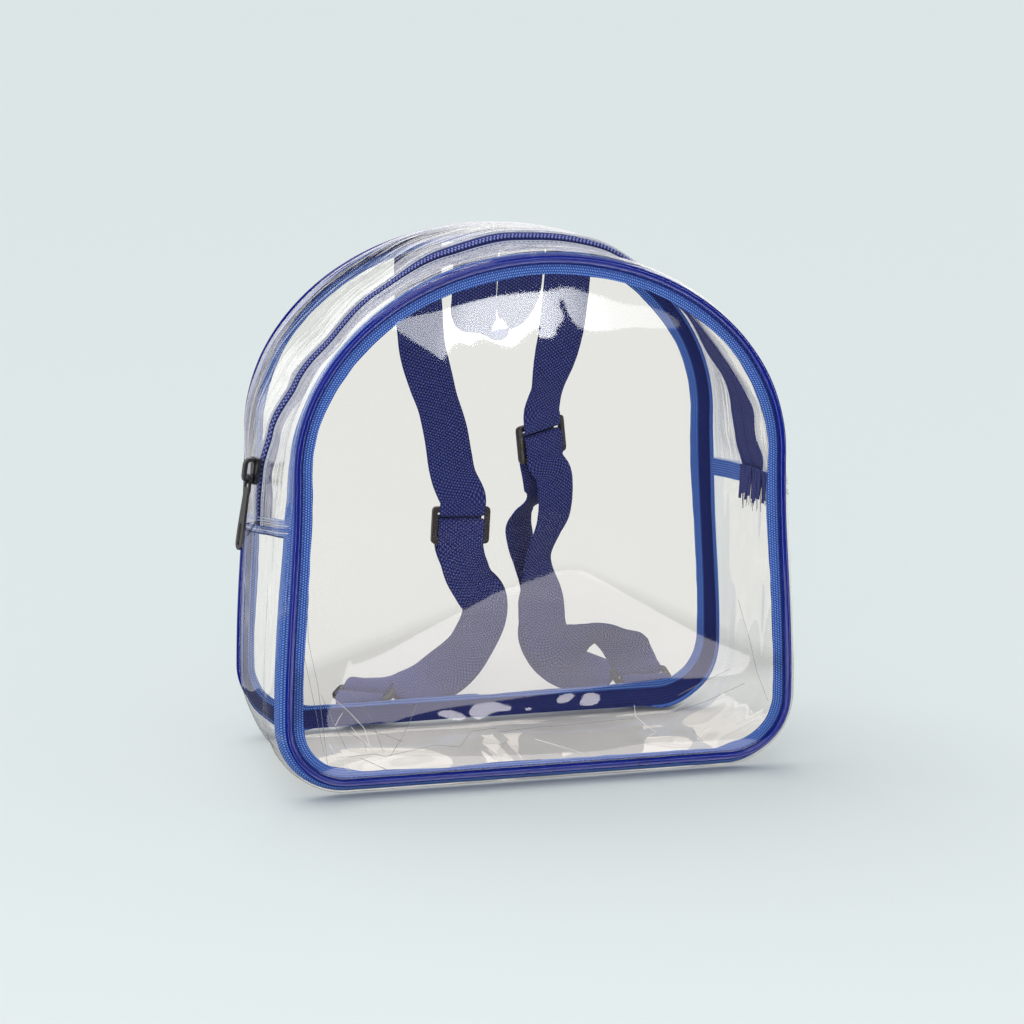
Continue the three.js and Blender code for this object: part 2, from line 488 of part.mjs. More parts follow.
// Through the tri-glide: h is up its face, n is away from the bag. First the run from the
// shoulder, in front of the top bar and out behind the middle bar; then the sewn end.
const THREAD_DOWN = [
  { h: 17, n: -2.8 }, { h: 12.5, n: -2.8 }, { h: 9.6, n: -2.8 }, { h: 7.3, n: -2.5 }, { h: 6.4, n: -0.6 },
  { h: 6.3, n: 1.2 }, { h: 5.4, n: 3.0 }, { h: 3.4, n: 4.3 }, { h: 0, n: 5.0 }, { h: -6, n: 5.1 }, { h: -13, n: 5.2 },
];
const SEWN_END = [
  { h: -14, n: -2.9 }, { h: -8, n: -2.9 }, { h: 1.2, n: -3.0 }, { h: 2.9, n: -2.3 }, { h: 3.7, n: 0 },
  { h: 2.9, n: 2.3 }, { h: 1.2, n: 3.0 }, { h: -7.5, n: 3.0 },
];
// Round a ring's bar: s is away from the ring's middle, k is off the ring's face (+ above).
const ROUND_BAR = [
  { s: 7, k: -3.7 }, { s: 0, k: -3.4 }, { s: -2.4, k: -2.4 }, { s: -3.4, k: 0 }, { s: -2.4, k: 2.4 }, { s: 0, k: 3.4 }, { s: 7, k: 3.7 },
];

// Shoulder straps: each is one webbing, sewn in the top seam, through the tri-glide, down,
// round its ring and back up to the tri-glide's middle bar.
const LEFT_UPPER = [
  { at: 'top seam', x: -38.5, y: 152.6, z: 307.6, lean: 12, yaw: 0, sewn: true },
  { at: 'below the seam', x: -38.4, y: 153.6, z: 300, lean: 0, yaw: 0 },
  { at: 'first drop', x: -38.0, y: 156.4, z: 286, lean: 0, yaw: 0 },
  { at: 'first bow', x: -36.6, y: 161, z: 268, lean: 0, yaw: 0 },
  { at: 'upper', x: -34.4, y: 165, z: 250, lean: 0, yaw: 2 },
  { at: 'upper middle', x: -32.5, y: 166.5, z: 236, lean: -2, yaw: 4 },
  { at: 'turning', x: -28.4, y: 167, z: 221, lean: -3, yaw: 6 },
  { at: 'narrow', x: -22.5, y: 167.5, z: 202, lean: -4, yaw: 18 },
  { at: 'below narrow', x: -17.6, y: 167.5, z: 184, lean: -4, yaw: 10 },
  { at: 'above the slide', x: -12.6, y: 166, z: 155, lean: -4, yaw: 6 },
];
const LEFT_LOWER = [   // from under the tri-glide to the ring
  { at: 'above the fold', x: -4.8, y: 165.5, z: 95, lean: -4, yaw: 8 },
  { at: 'fold', x: 2.0, y: 168.5, z: 82, lean: -2, yaw: 16 },
  { at: 'below the fold', x: 9.4, y: 171.5, z: 70.9, lean: -6, yaw: 8 },
  { at: 'upper sweep', x: 9.6, y: 174.5, z: 59.7, lean: -12, yaw: 0 },
  { at: 'sweep', x: 5.2, y: 177.5, z: 46.7, lean: -24, yaw: 0 },
  { at: 'lower sweep', x: -2.8, y: 180.5, z: 34, lean: -38, yaw: -10 },
  { at: 'turning flat', x: -14.5, y: 182.5, z: 24.4, lean: -52, yaw: -30 },
  { at: 'near the floor', x: -28.5, y: 185, z: 17.8, lean: -52, yaw: -56 },
  { at: 'flat', x: -42.5, y: 188, z: 15.4, lean: -36, yaw: -64 },
  { at: 'at the ring', x: -54.0, y: 189, z: 17.6, lean: -8, yaw: -48 },
];
const RIGHT_UPPER = [
  { at: 'top seam', x: 58.3, y: 152.8, z: 301.6, lean: -18, yaw: 0, sewn: true },
  { at: 'below the seam', x: 58.3, y: 153.6, z: 295, lean: 0, yaw: 0 },
  { at: 'first drop', x: 58.3, y: 156.4, z: 283, lean: 0, yaw: 0 },
  { at: 'first bow', x: 58.1, y: 161, z: 266, lean: 0, yaw: 0 },
  { at: 'upper', x: 56.4, y: 164, z: 244.7, lean: 0, yaw: 4 },
  { at: 'upper middle', x: 53.8, y: 165, z: 231.6, lean: 0, yaw: 10 },
  { at: 'turning', x: 50.9, y: 165.5, z: 219.8, lean: 0, yaw: 20 },
  { at: 'narrow', x: 47.9, y: 166, z: 207, lean: 2, yaw: 32 },
];
const RIGHT_FRONT = [
  { at: 'stitched end', x: 52.0, y: 163.4, z: 154.6, lean: 4, yaw: 26 },
  { at: 'bow', x: 53.7, y: 163, z: 140.3, lean: 4, yaw: 28 },
  { at: 'bow end', x: 52.5, y: 164, z: 125.8, lean: -2, yaw: 31 },
  { at: 'narrow', x: 48.5, y: 166, z: 113.9, lean: -6, yaw: 38 },
  { at: 'twisted', x: 44.1, y: 170, z: 97.5, lean: -6, yaw: 42 },
  { at: 'untwisting', x: 44.8, y: 172, z: 84, lean: 0, yaw: 30 },
  { at: 'wide', x: 47.6, y: 174.5, z: 67.3, lean: 4, yaw: -4 },
  { at: 'outer sweep', x: 49.5, y: 177, z: 52.5, lean: 18, yaw: -10 },
  { at: 'corner', x: 54.0, y: 179.5, z: 41.5, lean: 44, yaw: -8 },
  { at: 'lowest', x: 61.5, y: 181.5, z: 36.5, lean: 68, yaw: -4 },
  { at: 'rising', x: 69.5, y: 182.5, z: 37, lean: 84, yaw: -16 },
  { at: 'up to the hump', x: 77.5, y: 183.5, z: 39, lean: 94, yaw: -30 },
  { at: 'hump', x: 85.5, y: 184.5, z: 41.2, lean: 98, yaw: -44 },
  { at: 'over the hump', x: 93.5, y: 185.5, z: 41, lean: 86, yaw: -52 },
  { at: 'falling', x: 101, y: 186.5, z: 37, lean: 62, yaw: -44 },
  { at: 'down to the ring', x: 108, y: 187.5, z: 31.5, lean: 34, yaw: -20 },
  { at: 'at the ring', x: 112.6, y: 188, z: 25.6, lean: 12, yaw: -2 },
];
const RIGHT_REAR = [
  { at: 'rear drop', x: 45.6, y: 173, z: 140, lean: 5, yaw: 32 },
  { at: 'rear twist', x: 36.6, y: 176, z: 129, lean: 10, yaw: 42 },
  { at: 'rear back', x: 33.4, y: 178, z: 120.6, lean: 4, yaw: 42 },
  { at: 'rear narrow', x: 35.0, y: 179, z: 108.7, lean: 0, yaw: 42 },
  { at: 'rear inward', x: 38.8, y: 180, z: 95.4, lean: 0, yaw: 46 },
  { at: 'rear low', x: 42.6, y: 182, z: 82, lean: 2, yaw: 48 },
  { at: 'rear untwisting', x: 46.4, y: 185.5, z: 63.6, lean: 8, yaw: 34 },
  { at: 'rear sweep', x: 49.5, y: 190, z: 45.4, lean: 22, yaw: 16 },
  { at: 'rear turning', x: 57.5, y: 194.5, z: 30.5, lean: 44, yaw: 6 },
  { at: 'rear flat', x: 69, y: 198, z: 19.5, lean: 60, yaw: 12 },
  { at: 'on the floor', x: 84, y: 199.5, z: 13.4, lean: 60, yaw: 38 },
  { at: 'rear at the ring', x: 101.5, y: 197.8, z: 9.6, lean: 30, yaw: 38 },
];
const slideL = localFrame([-7.6, 167.5, 123], -3, 3), slideR = localFrame([44.9, 167.5, 176], 8, 25);
// Rings: a along their bars, h from the tab's bar to the strap's bar, n up off their face.
const ringL = localFrame([-69.5, 172.2, 15.5], 0, -32, 84), ringR = localFrame([113, 168, 17.2], 0, 0, 78);
const barOffset = RING_H / 2 - RING_T / 2;

function strapFrames({ upper, slide, rear, front, ring }) {
  const down = THREAD_DOWN.map(r => slide.at(r.h, r.n)), sewn = SEWN_END.map(r => slide.at(r.h, r.n));
  const bar = ROUND_BAR.map(r => ring.at(barOffset + r.s, -r.k));
  return [
    ...smoothFrames([...upper.map(frameOf), down[0]], 2).slice(0, -1),
    ...down.slice(0, -1),
    ...smoothFrames([down[down.length - 1], ...rear, bar[0]], 2).slice(0, -1),
    ...bar.slice(0, -1),
    ...smoothFrames([bar[bar.length - 1], ...front.slice().reverse(), sewn[0]], 2).slice(0, -1),
    ...sewn,
  ];
}
const leftFront = LEFT_LOWER.map(frameOf), rightFront = RIGHT_FRONT.map(frameOf);
add('strap_left', webStrip(strapFrames({ upper: LEFT_UPPER, slide: slideL, rear: shifted(leftFront, 5.2, 1.5), front: leftFront, ring: ringL }), WEB, WEB_T), webbing());
add('strap_right', webStrip(strapFrames({ upper: RIGHT_UPPER, slide: slideR, rear: RIGHT_REAR.map(frameOf), front: rightFront, ring: ringR }), WEB, WEB_T), webbing());
rigid('tri_glide_left', slideShape(), SLIDE_T, slideL, blackPlastic());
rigid('tri_glide_right', slideShape(), SLIDE_T, slideR, blackPlastic());
rigid('ring_left', ringShape(), RING_T, ringL, blackPlastic());
rigid('ring_right', ringShape(), RING_T, ringR, blackPlastic());

// Webbing tab holding each ring, sewn in the bottom back seam.
function ringTab(ring, x) {
  const turn = ROUND_BAR.slice(1, -1).map(r => ring.at(-barOffset - r.s, -r.k));
  const foot = (y, z) => ({ p: new THREE.Vector3(x, y, z), w: new THREE.Vector3(1, 0, 0), sewn: true });
  return webStrip([foot(155.8, 7.6), foot(155.9, 10.5), ...turn, foot(153.4, 16.0), foot(153.1, 11.5), foot(153.4, 7.6)], WEB, WEB_T);
}
add('ring_tab_left', ringTab(ringL, -77), webbing());
add('ring_tab_right', ringTab(ringR, 113), webbing());

// ---------------------------------------------------------------- grab handle
const HANDLE = [
  { at: 'left end', x: -1.4, y: 152.6, z: 311.6, lean: 0, yaw: 0, sewn: true },
  { at: 'left arm top', x: -1.4, y: 153.6, z: 303, lean: 0, yaw: 0 },
  { at: 'left arm', x: -1.2, y: 156.6, z: 287, lean: 0, yaw: 0 },
  { at: 'left arm low', x: -0.6, y: 162.2, z: 266, lean: -4, yaw: -4 },
  { at: 'left bend', x: 1.6, y: 168.4, z: 252, lean: -12, yaw: -30 },
  { at: 'bottom left', x: 7.0, y: 169.5, z: 244.6, lean: -18, yaw: -66 },
  { at: 'bottom', x: 14.5, y: 170.5, z: 242.8, lean: 0, yaw: -90 },
  { at: 'bottom right', x: 22.0, y: 169.5, z: 245.6, lean: 198, yaw: -66 },
  { at: 'right bend', x: 27.4, y: 168.4, z: 254, lean: 192, yaw: -30 },
  { at: 'right arm low', x: 27.9, y: 162.2, z: 268, lean: 184, yaw: -4 },
  { at: 'right arm', x: 28.2, y: 156.6, z: 287, lean: 180, yaw: 0 },
  { at: 'right arm top', x: 28.2, y: 153.6, z: 301, lean: 180, yaw: 0 },
  { at: 'right end', x: 28.2, y: 152.6, z: 309.2, lean: 171, yaw: 0, sewn: true },
];
add('grab_handle', webStrip(smoothFrames(HANDLE.map(frameOf), 2), WEB - 1.4, WEB_T), webbing());

// ---------------------------------------------------------------- placing
bag.updateMatrixWorld(true);
const box = new THREE.Box3().setFromObject(bag, true), mid = box.getCenter(new THREE.Vector3());
const root = new THREE.Group();
root.add(bag);
bag.position.set(-mid.x, -mid.y, -box.min.z);
root.updateMatrixWorld(true);

export default root;
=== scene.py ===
import math
import bpy
import numpy as np
from mathutils import Matrix, Vector


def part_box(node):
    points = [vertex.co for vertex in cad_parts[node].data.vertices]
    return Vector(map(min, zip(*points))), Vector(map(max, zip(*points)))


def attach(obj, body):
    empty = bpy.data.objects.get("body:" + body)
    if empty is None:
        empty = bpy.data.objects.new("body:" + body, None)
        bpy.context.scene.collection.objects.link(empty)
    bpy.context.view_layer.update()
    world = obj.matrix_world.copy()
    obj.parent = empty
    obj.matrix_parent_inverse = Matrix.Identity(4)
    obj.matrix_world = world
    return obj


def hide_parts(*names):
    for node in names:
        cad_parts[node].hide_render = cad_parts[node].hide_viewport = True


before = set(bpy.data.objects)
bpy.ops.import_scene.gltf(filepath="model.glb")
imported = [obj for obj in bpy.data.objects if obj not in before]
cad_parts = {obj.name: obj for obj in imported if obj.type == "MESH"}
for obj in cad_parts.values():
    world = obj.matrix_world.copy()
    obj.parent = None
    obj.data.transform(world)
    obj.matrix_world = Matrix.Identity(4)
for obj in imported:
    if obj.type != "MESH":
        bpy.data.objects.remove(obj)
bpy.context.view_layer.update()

# ------------------------------------------------------------------ the bag's own measures, mm
# X = 0 is the bag's middle, Y = 0 the front piping, Z = 0 the floor.
DEPTH, HALF_BASE, HALF_SHOULDER = 150.0, 153.5, 147.0
ARCH_START, PANEL_TOP, CORNER_R, FOOT = 185.0, 306.0, 36.0, 9.5
BEAD_R, EDGE_ROUND, ZIP_Y, SEAM_W = 2.2, 16.0, 75.0, 0.548
low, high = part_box("piping_front")
OX, OY = (low.x + high.x) / 2, (low.y + high.y) / 2


def place(p):
    p = np.asarray(p, float)
    return p * 0.001 + np.array([OX, OY, 0.0])


# ------------------------------------------------------------------ outline
def _outline_table():
    xs, zs = [0.0], [0.0]
    for x in np.linspace(0, HALF_BASE - CORNER_R, 60)[1:]:
        xs.append(x), zs.append(0.0)
    for a in np.linspace(0, math.pi / 2, 60)[1:]:
        xs.append(HALF_BASE - CORNER_R + CORNER_R * math.sin(a)), zs.append(CORNER_R - CORNER_R * math.cos(a))
    for k in np.linspace(0, 1, 80)[1:]:
        xs.append(HALF_BASE + (HALF_SHOULDER - HALF_BASE) * k * k * (3 - 2 * k)), zs.append(CORNER_R + k * (ARCH_START - CORNER_R))
    for a in np.linspace(0, math.pi / 2, 240)[1:]:
        xs.append(HALF_SHOULDER * math.cos(a)), zs.append(ARCH_START + (PANEL_TOP - ARCH_START) * math.sin(a))
    xs, zs = np.array(xs), np.array(zs)
    s = np.concatenate([[0], np.cumsum(np.hypot(np.diff(xs), np.diff(zs)))])
    return xs, zs, s


_X, _Z, _S = _outline_table()
HALF_LEN = _S[-1]


def outline(w):
    w = np.mod(np.asarray(w, float), 2)
    s = np.where(w <= 1, w, 2 - w) * HALF_LEN
    x, z = np.interp(s, _S, _X), np.interp(s, _S, _Z)
    return np.where(w <= 1, x, -x), z + FOOT


def outline_normal(w):
    e = 0.003
    ax, az = outline(np.asarray(w) - e)
    bx, bz = outline(np.asarray(w) + e)
    dx, dz = bx - ax, bz - az
    n = np.hypot(dx, dz)
    return dz / n, -dx / n


# How far the gusset stands outside the piping line: (place round the outline, front, back, middle).
GUSSET_FORM = np.array([
    (0.0000, 9.5, 9.5, 9.5), (0.2198, 9.5, 9.5, 9.5), (0.2700, 8.5, 7.0, 7.5), (0.3255, 8.0, 5.0, 6.5),
    (0.4640, 8.0, 4.0, 8.0), (0.5480, 7.5, 4.5, 9.0), (0.6280, 4.5, 4.5, 3.0), (0.7100, 4.5, 4.5, -4.5),
    (0.8000, 4.5, 4.5, -1.0), (0.9000, 4.5, 4.5, 4.5), (1.0000, 4.5, 4.5, 3.5), (1.0800, 4.5, 4.5, -0.5),
    (1.1700, 3.5, 3.5, -5.0), (1.2460, 3.0, 3.0, -9.0), (1.3120, 3.5, 3.5, -5.0), (1.3720, 4.5, 4.5, 2.0),
    (1.4160, 6.0, 4.5, 6.5), (1.4520, 7.5, 3.5, 8.0), (1.5360, 8.5, 2.0, 7.5), (1.6745, 8.5, 2.0, 6.5),
    (1.7300, 9.0, 5.0, 7.5), (1.7802, 9.5, 9.5, 9.5), (2.0000, 9.5, 9.5, 9.5),
])
# The side seams slope: (how much lower at the front, mm more per mm further back) from the seam's place.
SEAM_RIGHT, SEAM_LEFT, SEAM_REACH = (-8.8, 0.10), (0.8, 0.18), 45.0


def form(w, col):
    w = np.mod(w, 2)
    t = GUSSET_FORM[:, 0]
    i = np.clip(np.searchsorted(t, w, side="right") - 1, 0, len(t) - 2)
    k = np.clip((w - t[i]) / (t[i + 1] - t[i]), 0, 1)
    k = k * k * (3 - 2 * k)
    return GUSSET_FORM[i, col] + (GUSSET_FORM[i + 1, col] - GUSSET_FORM[i, col]) * k


def window(t, a, b, soft):
    """1 between a and b, 0 outside, with soft ends."""
    k = np.clip((t - a) / soft, 0, 1) * np.clip((b - t) / soft, 0, 1)
    return k * k * (3 - 2 * k)


def waves(a, b, seed, n=5, low_f=1.0, high_f=3.0):
    """Smooth seeded unevenness of about -1 to 1."""
    r = np.random.RandomState(seed)
    out = np.zeros(np.broadcast(a, b).shape)
    for _ in range(n):
        f, th, ph = r.uniform(low_f, high_f), r.uniform(0, math.pi), r.uniform(0, 6.283)
        out = out + np.sin(f * (a * math.cos(th) + b * math.sin(th)) + ph)
    return out / n * 1.4


def wrinkle(w, y):
    """Extra outward rise of the clear gusset: slack waves and soft creases, none near the piping."""
    w, y = np.mod(w, 2), np.asarray(y, float)
    s = w * HALF_LEN
    d = np.minimum(y, DEPTH - y)
    free = np.clip((d - 9) / 16, 0, 1)
    top = window(w, 0.56, 1.44, 0.03)
    base = np.clip(1 - window(w, 0.24, 1.76, 0.04), 0, 1)
    side = np.clip(1 - top - base, 0, 1)
    out = top * (0.7 * waves(s / 30, y / 45, 3) + 0.18 * waves(s / 14, y / 40, 4) + 0.30 * waves(s / 60, y / 4.5, 9))
    out += side * (1.2 * waves(s / 46, y / 24, 5) + 0.45 * waves(s / 19, y / 9, 6))
    under = 1.1 * waves(s / 34, y / 24, 7) + 0.3 * waves(s / 16, y / 14, 8) - 1.3
    # the zip is tipped towards the front over the crown
    tip = 4.2 * window(w, 0.68, 1.16, 0.10) * np.clip((y - 75) / 18, -0.5, 0.5) * np.clip((d - 10) / 40, 0, 1)
    return free * (out + base * np.minimum(under, 0)) + tip


def rise(w, y):
    w, y = np.asarray(w, float), np.asarray(y, float)
    edge = np.where(y > DEPTH / 2, form(w, 2), form(w, 1))
    mid = form(w, 3)
    d = np.minimum(y, DEPTH - y)
    crown = np.where(d >= EDGE_ROUND, 1, np.sqrt(np.clip(1 - (1 - d / EDGE_ROUND) ** 2, 0, 1)))
    k = np.clip((d - 8) / (ZIP_Y - 16 - 8), 0, 1)
    k = k * k * (3 - 2 * k)
    return edge * crown + (mid - edge) * k + wrinkle(w, y)


def slid(w, y):
    """Where the sheet's own line w lies at depth y, because the side seams slope."""
    w, y = np.mod(np.asarray(w, float), 2), np.asarray(y, float)
    right = w <= 1
    off = (w - np.where(right, SEAM_W, 2 - SEAM_W)) * HALF_LEN
    lower = np.where(right, SEAM_RIGHT[0] + SEAM_RIGHT[1] * y, SEAM_LEFT[0] + SEAM_LEFT[1] * y)
    drop = lower * np.exp(-(off / SEAM_REACH) ** 2) / HALF_LEN
    return np.where(right, w - drop, w + drop)


def gusset_point(w, y, depth):
    w, y, depth = np.broadcast_arrays(np.asarray(w, float), np.asarray(y, float), np.asarray(depth, float))
    w = slid(w, y)
    e = 0.2
    slope = (rise(w, y + e) - rise(w, y - e)) / (2 * e)
    l = np.hypot(1, slope)
    n = rise(w, y) - depth / l
    yy = y + depth * slope / l
    x, z = outline(w)
    nx, nz = outline_normal(w)
    return np.stack([x + nx * n, yy, z + nz * n], -1)


def gusset_start(w, back=False):
    w = np.asarray(w, float)
    y = np.full(w.shape, 0.3)
    for _ in range(60):
        at = DEPTH - y if back else y
        near = np.hypot(y, rise(slid(w, at), at)) < BEAD_R + 0.35
        y = np.where(near, y + 0.1, y)
    return y


# ------------------------------------------------------------------ mesh makers
made = {}


def new_mesh(name, verts, faces, mat, uv=None, smooth=35):
    me = bpy.data.meshes.new(name)
    me.from_pydata([tuple(map(float, v)) for v in place(verts)], [], [tuple(map(int, f)) for f in faces])
    if uv is not None:
        layer = me.uv_layers.new(name="UVMap")
        loop_v = np.empty(len(me.loops), np.int32)
        me.loops.foreach_get("vertex_index", loop_v)
        layer.data.foreach_set("uv", (np.asarray(uv, float)[loop_v]).ravel())
    me.update()
    ob = bpy.data.objects.new(name, me)
    bpy.context.collection.objects.link(ob)
    me.polygons.foreach_set("use_smooth", [True] * len(me.polygons))
    if smooth:
        me.set_sharp_from_angle(angle=math.radians(smooth))
    me.materials.append(mat)
    made[name] = ob
    return ob


def grid_faces(m, n, close_m=False, close_n=False, flip=False):
    faces = []
    for i in range(m if close_m else m - 1):
        for j in range(n if close_n else n - 1):
            a, b = i * n + j, ((i + 1) % m) * n + j
            c, d = ((i + 1) % m) * n + (j + 1) % n, i * n + (j + 1) % n
            faces.append((a, d, c, b) if flip else (a, b, c, d))
    return faces


def grid(name, P, mat, uv=None, close_m=False, close_n=False, flip=False, smooth=35):
    m, n = P.shape[:2]
    return new_mesh(name, P.reshape(-1, 3), grid_faces(m, n, close_m, close_n, flip), mat,
                    None if uv is None else uv.reshape(-1, 2), smooth)


def tube_mesh(lines, radius, sides=6):
    """Verts and faces of round wires along several point lists; radius may vary along each."""
    verts, faces = [], []
    for line in lines:
        line = np.asarray(line, float)
        n = len(line)
        t = np.gradient(line, axis=0)
        t /= np.linalg.norm(t, axis=1)[:, None] + 1e-12
        up = np.array([0.13, 0.31, 0.94])
        a = np.cross(t, up)
        a /= np.linalg.norm(a, axis=1)[:, None] + 1e-12
        b = np.cross(t, a)
        r = np.broadcast_to(radius, (n,)) if np.ndim(radius) else np.full(n, radius)
        base = len(verts)
        for i in range(n):
            for k in range(sides):
                th = 2 * math.pi * k / sides
                verts.append(line[i] + r[i] * (math.cos(th) * a[i] + math.sin(th) * b[i]))
        faces += [tuple(base + v for v in f) for f in grid_faces(n, sides, False, True)]
        faces.append(tuple(base + k for k in range(sides)))
        faces.append(tuple(base + (n - 1) * sides + k for k in reversed(range(sides))))
    return np.array(verts), faces


def wires(name, lines, radius, mat, sides=6):
    v, f = tube_mesh(lines, radius, sides)
    return new_mesh(name, v, f, mat, smooth=60)


def dashes(points, pitch, length):
    """Cuts a polyline into stitches."""
    points = np.asarray(points, float)
    s = np.concatenate([[0], np.cumsum(np.linalg.norm(np.diff(points, axis=0), axis=1))])
    out, t = [], pitch * 0.5
    while t + length < s[-1]:
        q = np.linspace(t, t + length, 4)
        out.append(np.stack([np.interp(q, s, points[:, i]) for i in range(3)], -1))
        t += pitch
    return out


# ------------------------------------------------------------------ materials
class Mat:
    def __init__(self, name):
        self.m = bpy.data.materials.new(name)
        self.m.use_nodes = True
        self.nt = self.m.node_tree
        self.nt.nodes.clear()
        self.out = self.nt.nodes.new("ShaderNodeOutputMaterial")

    def node(self, kind, **props):
        n = self.nt.nodes.new(kind)
        for k, v in props.items():
            setattr(n, k, v)
        return n

    def put(self, socket, value):
        if isinstance(value, bpy.types.NodeSocket):
            self.nt.links.new(value, socket)
        else:
            socket.default_value = value

    def math(self, op, a, b=0.0, c=None, clamp=False):
        n = self.node("ShaderNodeMath", operation=op, use_clamp=clamp)
        self.put(n.inputs[0], a)
        self.put(n.inputs[1], b)
        if c is not None:
            self.put(n.inputs[2], c)
        return n.outputs[0]

    def ramp(self, value, stops):
        n = self.node("ShaderNodeValToRGB")
        el = n.color_ramp.elements
        while len(el) > 1:
            el.remove(el[-1])
        el[0].position, el[0].color = stops[0][0], stops[0][1]
        for p, c in stops[1:]:
            e = el.new(p)
            e.color = c
        self.put(n.inputs[0], value)
        return n.outputs[0]

    def mix(self, fac, a, b):
        n = self.node("ShaderNodeMix", data_type="RGBA")
        self.put(n.inputs[0], fac)
        self.put(n.inputs[6], a)
        self.put(n.inputs[7], b)
        return n.outputs[2]

    def noise(self, vector, scale, detail=3.0, rough=0.5, distortion=0.0):
        n = self.node("ShaderNodeTexNoise")
        self.put(n.inputs["Vector"], vector)
        self.put(n.inputs["Scale"], scale)
        self.put(n.inputs["Detail"], detail)
        self.put(n.inputs["Roughness"], rough)
        self.put(n.inputs["Distortion"], distortion)
        return n.outputs[0]

    def coords(self, which="Object"):
        return self.node("ShaderNodeTexCoord").outputs[which]

    def uv(self):
        sep = self.node("ShaderNodeSeparateXYZ")
        self.put(sep.inputs[0], self.coords("UV"))
        return sep.outputs[0], sep.outputs[1]

    def mapped(self, vector, scale):
        n = self.node("ShaderNodeMapping")
        self.put(n.inputs["Vector"], vector)
        n.inputs["Scale"].default_value = scale
        return n.outputs[0]

    def bump(self, height, strength, distance, normal=None):
        n = self.node("ShaderNodeBump")
        n.inputs["Strength"].default_value = strength
        n.inputs["Distance"].default_value = distance
        self.put(n.inputs["Height"], height)
        if normal is not None:
            self.put(n.inputs["Normal"], normal)
        return n.outputs[0]

    def principled(self, color, rough, normal=None, **constants):
        n = self.node("ShaderNodeBsdfPrincipled")
        self.put(n.inputs["Base Color"], color)
        self.put(n.inputs["Roughness"], rough)
        if normal is not None:
            self.put(n.inputs["Normal"], normal)
        for k, v in constants.items():
            n.inputs[k.replace("_", " ")].default_value = v
        return n.outputs[0]

    def done(self, shader):
        self.nt.links.new(shader, self.out.inputs["Surface"])
        return self.m


def rgb(r, g, b):
    return (r, g, b, 1.0)


